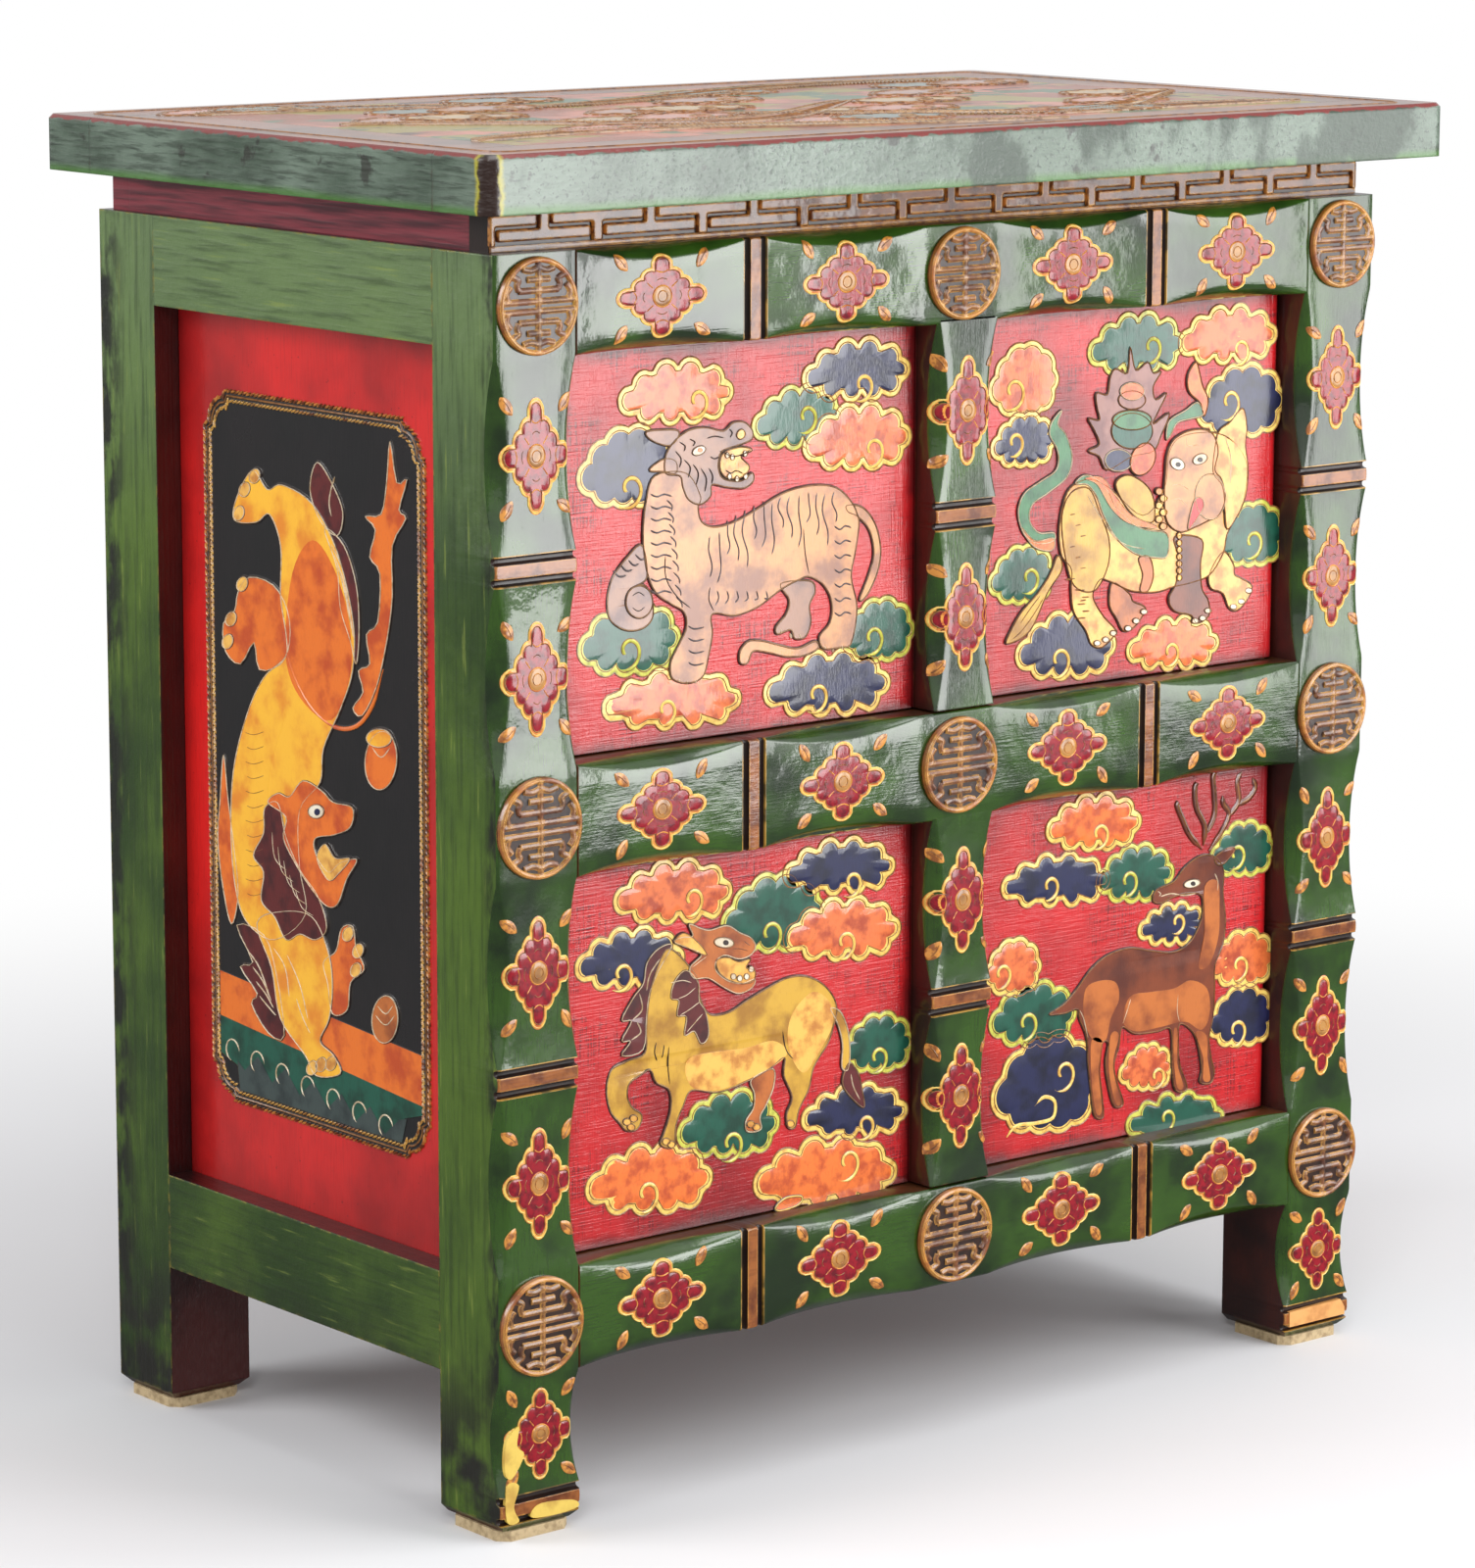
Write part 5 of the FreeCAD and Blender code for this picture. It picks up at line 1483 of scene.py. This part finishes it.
def cartouche(side):
    sign = -1 if side == "left" else 1
    relief = Relief(f"{side}_cartouche", "carcass", "red_lacquer")
    surface = Surface((sign * abs(side_face), 0, 0), (0, -1, 0), (0, 0, 1), (sign, 0, 0))
    u = (-CARTOUCHE_Y[1], -CARTOUCHE_Y[0])
    sheet = Sheet(*SIDE_SHEET, surface)
    outer = notched(u, CARTOUCHE_Z, 12.0)
    inner = notched(u, CARTOUCHE_Z, 10.0, 4.6)
    plate(relief, surface, outer, 0.3, black_field)
    braid(relief, surface, outer, 2.6, 3.2, gold_edge)
    stroke(relief, surface, notched(u, CARTOUCHE_Z, 11.0, 2.3), 1.0, 0.8, brown_line, closed=True)
    braid(relief, surface, inner, 2.2, 3.0, rim_gold)
    low = CARTOUCHE_Z[0] + 6
    inside = (u[0] + 6, u[1] - 6)
    ground = [(inside[0], 226.0), (inside[1], 214.0), (inside[1], 190.0), (inside[0], 204.0)]
    sea = [(inside[0], 204.0), (inside[1], 190.0), (inside[1], low + 16), (inside[1] - 14, low + 12),
           (inside[1] - 16, low), (inside[0] + 16, low), (inside[0] + 14, low + 12), (inside[0], low + 16)]
    plate(relief, surface, ground, 0.5, fur_orange)
    plate(relief, surface, sea, 0.5, teal)
    waves = []
    for k in range(7):
        start = inside[0] + 10 + k * 21
        base = 196 - k * 2.2
        t = np.linspace(0, 4.4, 16)
        waves.append(np.stack([start + 5.5 * np.cos(t), base - 8 + 5.5 * np.sin(t)], 1))
    bed = [(inside[0] + 16, low), (inside[0] + 14, 184.0)]
    for k in range(12):
        bed.append((inside[0] + 20 + 11.5 * k, (190 if k % 2 else 180) - k * 0.9))
    bed += [(inside[1] - 12, low + 12), (inside[1] - 16, low)]
    plate(relief, surface, bed, 0.62, slate)
    for wave in waves:
        stroke(relief, surface, wave, 1.0, 1.0, pale_line)
    lion_on_hands(relief, sheet)
    relief.build()


def lion_on_hands(relief, sheet):
    flame = [(400, 245), (412, 318), (430, 312), (416, 366), (428, 382), (404, 430), (404, 520), (394, 600),
             (376, 680), (350, 732), (334, 718), (352, 690), (344, 652), (364, 640), (358, 588), (378, 566),
             (382, 480), (364, 450), (374, 402), (356, 378), (384, 374), (394, 318)]
    cord = [(212, 440), (206, 540), (222, 640), (256, 712), (300, 752), (340, 750), (368, 712), (386, 650)]
    far_leg = [(192, 500), (150, 486), (130, 512), (124, 545), (104, 568), (108, 618), (134, 640), (158, 602),
               (168, 650), (206, 640), (222, 600), (218, 545)]
    tail_leaf = [(270, 282), (258, 330), (276, 385), (306, 412), (316, 370), (296, 318)]
    tail_hair = [(284, 400), (306, 470), (312, 540), (330, 600), (340, 640), (345, 580), (340, 500),
                 (318, 430)]
    body = [(156, 296), (128, 344), (124, 384), (162, 388), (186, 374), (206, 430), (206, 520), (216, 590),
            (214, 628), (176, 664), (146, 730), (122, 830), (118, 950), (128, 1050), (150, 1104), (196, 1130),
            (250, 1085), (240, 1000), (240, 900), (276, 850), (282, 790), (312, 720), (334, 650), (334, 560),
            (306, 440), (262, 356), (208, 322), (182, 330)]
    chest = [(176, 680), (146, 760), (128, 870), (132, 1010), (160, 1080), (180, 960), (186, 830), (214, 720)]
    thigh = [(214, 620), (240, 700), (296, 740), (330, 655), (326, 560), (300, 470), (262, 420), (226, 480)]
    side_flame = [(104, 802), (112, 880), (122, 960), (130, 1046), (118, 1102), (102, 1030), (94, 950),
                  (98, 880)]
    fur_wing = [(128, 1104), (176, 1122), (198, 1190), (212, 1300), (184, 1296), (154, 1244), (164, 1226),
                (134, 1178), (156, 1170)]
    arm = [(164, 1100), (190, 1180), (206, 1270), (250, 1336), (270, 1372), (312, 1368), (300, 1336),
           (276, 1310), (292, 1270), (298, 1210), (290, 1150), (262, 1090), (210, 1080)]
    far_arm = [(282, 1170), (304, 1150), (314, 1110), (334, 1108), (340, 1146), (354, 1182), (330, 1206),
               (324, 1254), (298, 1262), (290, 1210)]
    mane = [(178, 896), (202, 888), (216, 948), (242, 1008), (272, 1052), (288, 1108), (268, 1130),
            (240, 1120),
            (216, 1130), (196, 1090), (172, 1060), (176, 1010), (158, 980), (176, 940)]
    head = [(184, 886), (202, 870), (222, 876), (246, 848), (280, 866), (300, 886), (334, 896), (330, 930),
            (300, 944), (268, 950), (270, 980), (292, 1010), (312, 994), (342, 988), (324, 1022), (308, 1066),
            (288, 1070), (262, 1040), (236, 1000), (212, 950), (216, 912)]
    figure(relief, sheet, flame, fur_orange, pale_line, 0.8, 0.9, 3)
    lines(relief, sheet, [cord], fur_orange, 2.4, 1.2)
    figures(relief, sheet, (
        (side_flame, fur_orange, pale_line, 0.8, 0.9),
        (far_leg, fur_orange, pale_line, 0.85, 0.9, 3),
        (tail_leaf, mane_maroon, pale_line, 0.85, 0.9),
        (tail_hair, mane_maroon, pale_line, 0.85, 0.9),
        (fur_wing, mane_maroon, pale_line, 0.85, 0.9, 3),
        (far_arm, fur_orange, pale_line, 0.85, 0.9),
        (body, fur_yellow, pale_line, 0.95, 0.9),
        (thigh, fur_orange, None, 1.0),
        (chest, fur_yellow, None, 1.0),
        (arm, fur_yellow, pale_line, 1.0, 0.9),
        (mane, mane_maroon, pale_line, 1.1, 0.9),
        (head, fur_orange, pale_line, 1.2, 0.9),
        (oval(270, 902, 14, 12), white_paint, ink_line, 1.4, 0.8),
        (oval(272, 903, 5, 6), navy, None, 1.6),
        ([(272, 985), (286, 960), (304, 985), (330, 986), (310, 1012), (292, 1024)], fur_gold, pale_line,
         1.4, 0.7),
        (oval(384, 812, 28, 52, 0.08), fur_orange, pale_line, 0.9, 0.9),
        (oval(381, 772, 22, 16), fur_yellow, pale_line, 1.1, 0.9),
        (oval(391, 1272, 23, 42, 0.05), fur_copper, pale_line, 0.9, 0.9),
    ))
    lines(relief, sheet, [[(366, 786), (384, 806), (402, 786)], [(376, 1246), (392, 1262), (406, 1246)],
                          [(372, 1262), (392, 1282), (410, 1262)]], pale_line, 0.9, 1.3)
    hairs = [[(292 + 6 * k, 420 + 18 * k), (318 + 4 * k, 480 + 26 * k), (326 + 3 * k, 560 + 12 * k)]
             for k in range(4)]
    hairs += [[(190 + 10 * k, 930 + 26 * k), (196 + 12 * k, 985 + 22 * k), (220 + 12 * k, 1010 + 20 * k)]
              for k in range(5)]
    hairs += [[(148 + 6 * k, 1150 + 26 * k), (168 + 6 * k, 1180 + 24 * k), (186 + 4 * k, 1230 + 12 * k)]
              for k in range(4)]
    hairs += [[(214, 1150), (240, 1210), (256, 1280)], [(232, 1230), (246, 1270), (260, 1300)],
              [(190, 1140), (214, 1180), (222, 1240)], [(300, 308), (292, 350), (296, 380)]]
    lines(relief, sheet, hairs, pale_line, 0.7, 1.4)
    scales = [[(138 + 4 * (k % 2), 760 + 26 * k), (158, 766 + 26 * k), (182, 758 + 26 * k)]
              for k in range(12)]
    lines(relief, sheet, scales, brown_line, 1.0, 1.15, 3)
    claws = [oval(u, v, 9, 13, 0.3) for u, v in ((132, 372), (142, 330), (160, 306), (118, 560), (112, 600),
                                                (138, 498), (326, 1120), (344, 1150), (340, 1184),
                                                 (278, 1352),
                                                (296, 1350), (262, 1358))]
    for claw in claws:
        figure(relief, sheet, claw, fur_gold, pale_line, 1.15, 0.7)


# Painted top

def top_painting():
    relief = Relief("top_painting", "carcass", "top_paint")
    surface = Surface((0, 0, top_z[1]), (1, 0, 0), (0, 1, 0), (0, 0, 1))
    reach_x, reach_y = top_x[1] - 16, top_y[1] - 14
    border = rounded([(-reach_x, -reach_y), (reach_x, -reach_y), (reach_x, reach_y), (-reach_x, reach_y)],
                     10, 6)
    border = np.concatenate([np.linspace(border[i], border[(i + 1) % len(border)], 6, endpoint=False)
                             for i in range(len(border))])
    stroke(relief, surface, border, 1.4, 0.5, brown_line, closed=True)
    sheet = Sheet((2 * reach_x, 2 * reach_y),
                  ((-reach_x, reach_y), (reach_x, reach_y), (-reach_x, -reach_y), (reach_x, -reach_y)),
                  surface)
    tones = (peach, teal, fur_copper, fur_ochre)
    for k in range(26):
        u = 52 + (k * 83) % 460
        v = 30 + (k * 59) % 250
        cloud(relief, sheet, (u - 34, u + 34, v - 19, v + 19), (u + 8, v + 6), tones[k % 4],
              flip=bool(k % 2), edge=umber_line, lift=0.02 * k)
    spines = ((-250, -104, 320, 30, 4.2, 0.4), (240, 108, -330, 30, 4.2, 0.4), (-235, 20, 300, 46, 5.0, 2.0),
              (245, -30, -290, 42, 5.2, 2.2), (-250, 118, 150, 14, 3.0, 1.0), (90, -122, 160, 10, 3.0, 0.0))
    for index, (u, v, length, swing, waves, phase) in enumerate(spines):
        t = np.linspace(0, 1, int(abs(length) / 2.6))
        spine = np.stack([u + length * t, v + swing * (np.sin(t * waves + phase) - math.sin(phase))], 1)
        wide = 17 * np.sin(np.clip(t * 1.02, 0, 1) * math.pi) ** 0.6 + 3
        slope = np.gradient(spine, axis=0)
        slope /= np.linalg.norm(slope, axis=1)[:, None]
        across = np.stack([-slope[:, 1], slope[:, 0]], 1)
        ribbon = np.concatenate([spine + across * wide[:, None] / 2, (spine - across * wide[:,
                                                                                            None] / 2)[::-1]])
        plate(relief, surface, ribbon, 0.5, (fur_ochre, cloth_green, fur_copper, fur_gold, slate,
                                             mane_maroon)[index])
        stroke(relief, surface, ribbon, 1.1, 0.95, umber_line, closed=True)
        for k in range(2, len(t) - 2):
            a = spine[k] + across[k] * wide[k] * 0.5
            b = spine[k] + across[k] * (wide[k] * 0.5 + 4.5) + slope[k] * 2.0
            stroke(relief, surface, np.array([a, (a + b) / 2, b]), 1.6, 1.3, umber_line)
            c = spine[k] - across[k] * wide[k] * 0.34
            d = spine[k] + across[k] * wide[k] * 0.30 + slope[k] * 1.8
            stroke(relief, surface, np.array([c, (c + d) / 2, d]), 0.9, 1.0, brown_line)
    relief.build()


# Wear: chips of paint at the front left foot and the bare place of the right foot

def chips():
    relief = Relief("paint_chips", "carcass", "green_lacquer")
    face = Surface((0, front, 0), (1, 0, 0), (0, 0, 1), (0, -1, 0))
    left, low = left_post[0], post_z[0]
    leg_edge = plain_leg
    for points, tone in (([(2, 44), (9, 50), (8, 41), (12, 36), (5, 26), (1, 30)], chip_yellow),
                         ([(2, 23), (9, 22), (6, 12), (9, 5), (2, 6)], chip_yellow),
                         ([(16, 8), (22, 11), (40, 9), (43, 5), (30, 4), (17, 5)], chip_yellow)):
        outline = curve([(left + leg_edge + u, low + v) for u, v in points], True, 4)
        plate(relief, face, outline, 0.35, tone, foot=-1.6)
    right = right_post[0]
    bare = [(right + 3, low + 6), (right + 3, low + 14), (right + 40, low + 14.5), (right + 43, low + 10),
            (right + 43, low + 6)]
    plate(relief, face, bare, 0.55, chip_raw, foot=-2.6)
    relief.build()


# CAD nodes that stay as they are take a material for each kind of piece

def dress(material, *names):
    for name in names:
        mesh = nodes[name].data
        mesh.materials.clear()
        mesh.materials.append(material)
        mesh.shade_smooth()
        mesh.set_sharp_from_angle(angle=math.radians(32))


dress(side_frame, "rear_left_post", "rear_right_post", "left_side_bottom_rail", "left_side_top_rail",
      "right_side_bottom_rail", "right_side_top_rail", "front_left_post", "front_right_post")
dress(green, "front_bottom_rail", "front_middle_rail", "front_top_rail", "upper_right_door_mullion",
      "lower_right_door_mullion")
dress(fret_copper, "bottom_rail_medallions", "middle_rail_medallions", "top_rail_medallions")
dress(inside_wood, "rear_bottom_rail", "rear_top_rail", "back_panel", "floor_board", "shelf_board",
      "left_shelf_runner", "right_shelf_runner")
dress(red_side, "left_side_panel", "right_side_panel")
dress(waist_maroon, "left_waist_board", "right_waist_board", "rear_waist_board")
dress(groove_dark, "front_waist_board")
dress(top_slab, "top_front_member", "top_rear_member", "top_left_member", "top_right_member")
dress(top_field, "top_panel")
dress(felt, "front_left_foot_pad", "front_right_foot_pad", "rear_left_foot_pad", "rear_right_foot_pad")
for door in ("lower_left_door", "lower_right_door", "upper_left_door", "upper_right_door"):
    dress(red_door, f"{door}_panel")
    dress(inside_wood, f"{door}_pivots")

posts()
rails()
mullions()
flowers()
medallions()
key_fret()
tiger()
elephant()
maned_beast()
deer()
cartouche("left")
cartouche("right")
top_painting()
chips()


# Studio

def floor_material():
    """Pale floor: shaded near the cabinet, white far from it, and dim in reflections."""
    s = Shade("studio_floor", 0.8)
    s.shader.inputs["Base Color"].default_value = (0.80, 0.80, 0.82, 1)
    away = s.add("VectorMath", {0: s.place, 1: (0.05, 0.05, 0.0)}, operation="DISTANCE").outputs["Value"]
    far = s.add("Emission", {"Color": (1, 1, 1, 1), "Strength": 1.0})
    first = s.add("MixShader", {0: s.ramp(away, 0.45, 1.25), 1: s.shader.outputs[0], 2: far.outputs[0]})
    dim = s.add("Emission", {"Color": (1, 1, 1, 1), "Strength": 0.06})
    glossy = s.add("LightPath").outputs["Is Glossy Ray"]
    second = s.add("MixShader", {0: s.math("MULTIPLY", glossy, 0.85), 1: first.outputs[0], 2: dim.outputs[0]})
    s.put(s.tree.nodes["Material Output"].inputs["Surface"], second.outputs[0])
    return s.material


def studio():
    floor_mesh = bpy.data.meshes.new("studio_floor")
    reach = 30.0
    floor_mesh.from_pydata([(-reach, -reach, 0), (reach, -reach, 0), (reach, reach, 0), (-reach, reach, 0)],
                           [],
                           [(0, 1, 2, 3)])
    floor_mesh.materials.append(floor_material())
    floor = bpy.data.objects.new("studio_floor", floor_mesh)
    bpy.context.scene.collection.objects.link(floor)
    lights = (
        ("card_front_left", (0.62, -1.52, 0.60), (-0.25, -0.13, 0.50), 0.72, 1.10, 16.0),
        ("card_front_right", (1.20, -1.00, 0.62), (0.22, -0.13, 0.50), 0.52, 1.05, 7.0),
        ("card_left", (-2.1, 0.9, 1.5), (-0.25, 0.0, 0.35), 1.2, 1.2, 28.0),
        ("card_above", (0.2, -0.7, 2.4), (0.0, 0.0, 0.3), 1.6, 1.6, 24.0),
        ("card_key", (-1.9, -1.9, 1.9), (0.0, 0.0, 0.35), 0.9, 0.9, 24.0),
    )
    for name, place, target, wide, tall, power in lights:
        data = bpy.data.lights.new(name, "AREA")
        data.shape, data.size, data.size_y, data.energy = "RECTANGLE", wide, tall, power
        lamp = bpy.data.objects.new(name, data)
        lamp.location = place
        lamp.rotation_euler = (Vector(target) - Vector(place)).to_track_quat("-Z", "Y").to_euler()
        bpy.context.scene.collection.objects.link(lamp)
    world = bpy.data.worlds.new("studio_world")
    bpy.context.scene.world = world
    world.use_nodes = True
    tree = world.node_tree
    background = tree.nodes["Background"]
    path = tree.nodes.new("ShaderNodeLightPath")
    seen = tree.nodes.new("ShaderNodeMapRange")
    seen.inputs["To Min"].default_value = 0.36
    seen.inputs["To Max"].default_value = 1.0
    tree.links.new(path.outputs["Is Camera Ray"], seen.inputs["Value"])
    mirrored = tree.nodes.new("ShaderNodeMapRange")
    mirrored.inputs["To Min"].default_value = 1.0
    mirrored.inputs["To Max"].default_value = 2.0
    tree.links.new(path.outputs["Is Glossy Ray"], mirrored.inputs["Value"])
    strength = tree.nodes.new("ShaderNodeMath")
    strength.operation = "MULTIPLY"
    tree.links.new(seen.outputs[0], strength.inputs[0])
    tree.links.new(mirrored.outputs[0], strength.inputs[1])
    tree.links.new(strength.outputs[0], background.inputs["Strength"])
    background.inputs["Color"].default_value = (1, 1, 1, 1)


def camera():
    yaw, pitch, roll = math.radians(39.496), math.radians(-10.635), math.radians(0.14)
    forward = Vector((math.sin(yaw) * math.cos(pitch), math.cos(yaw) * math.cos(pitch), math.sin(pitch)))
    data = bpy.data.cameras.new("photo_camera")
    data.lens = 127.01
    data.sensor_width = 36.0
    data.clip_end = 100.0
    eye = bpy.data.objects.new("photo_camera", data)
    eye.location = (-1.7324, -2.0872, 0.8097)
    turn = forward.to_track_quat("-Z", "Y").to_matrix() @ Matrix.Rotation(roll, 3, "Z")
    eye.rotation_euler = turn.to_euler()
    bpy.context.scene.collection.objects.link(eye)
    bpy.context.scene.camera = eye


studio()
camera()
bpy.context.scene.view_settings.view_transform = "Standard"
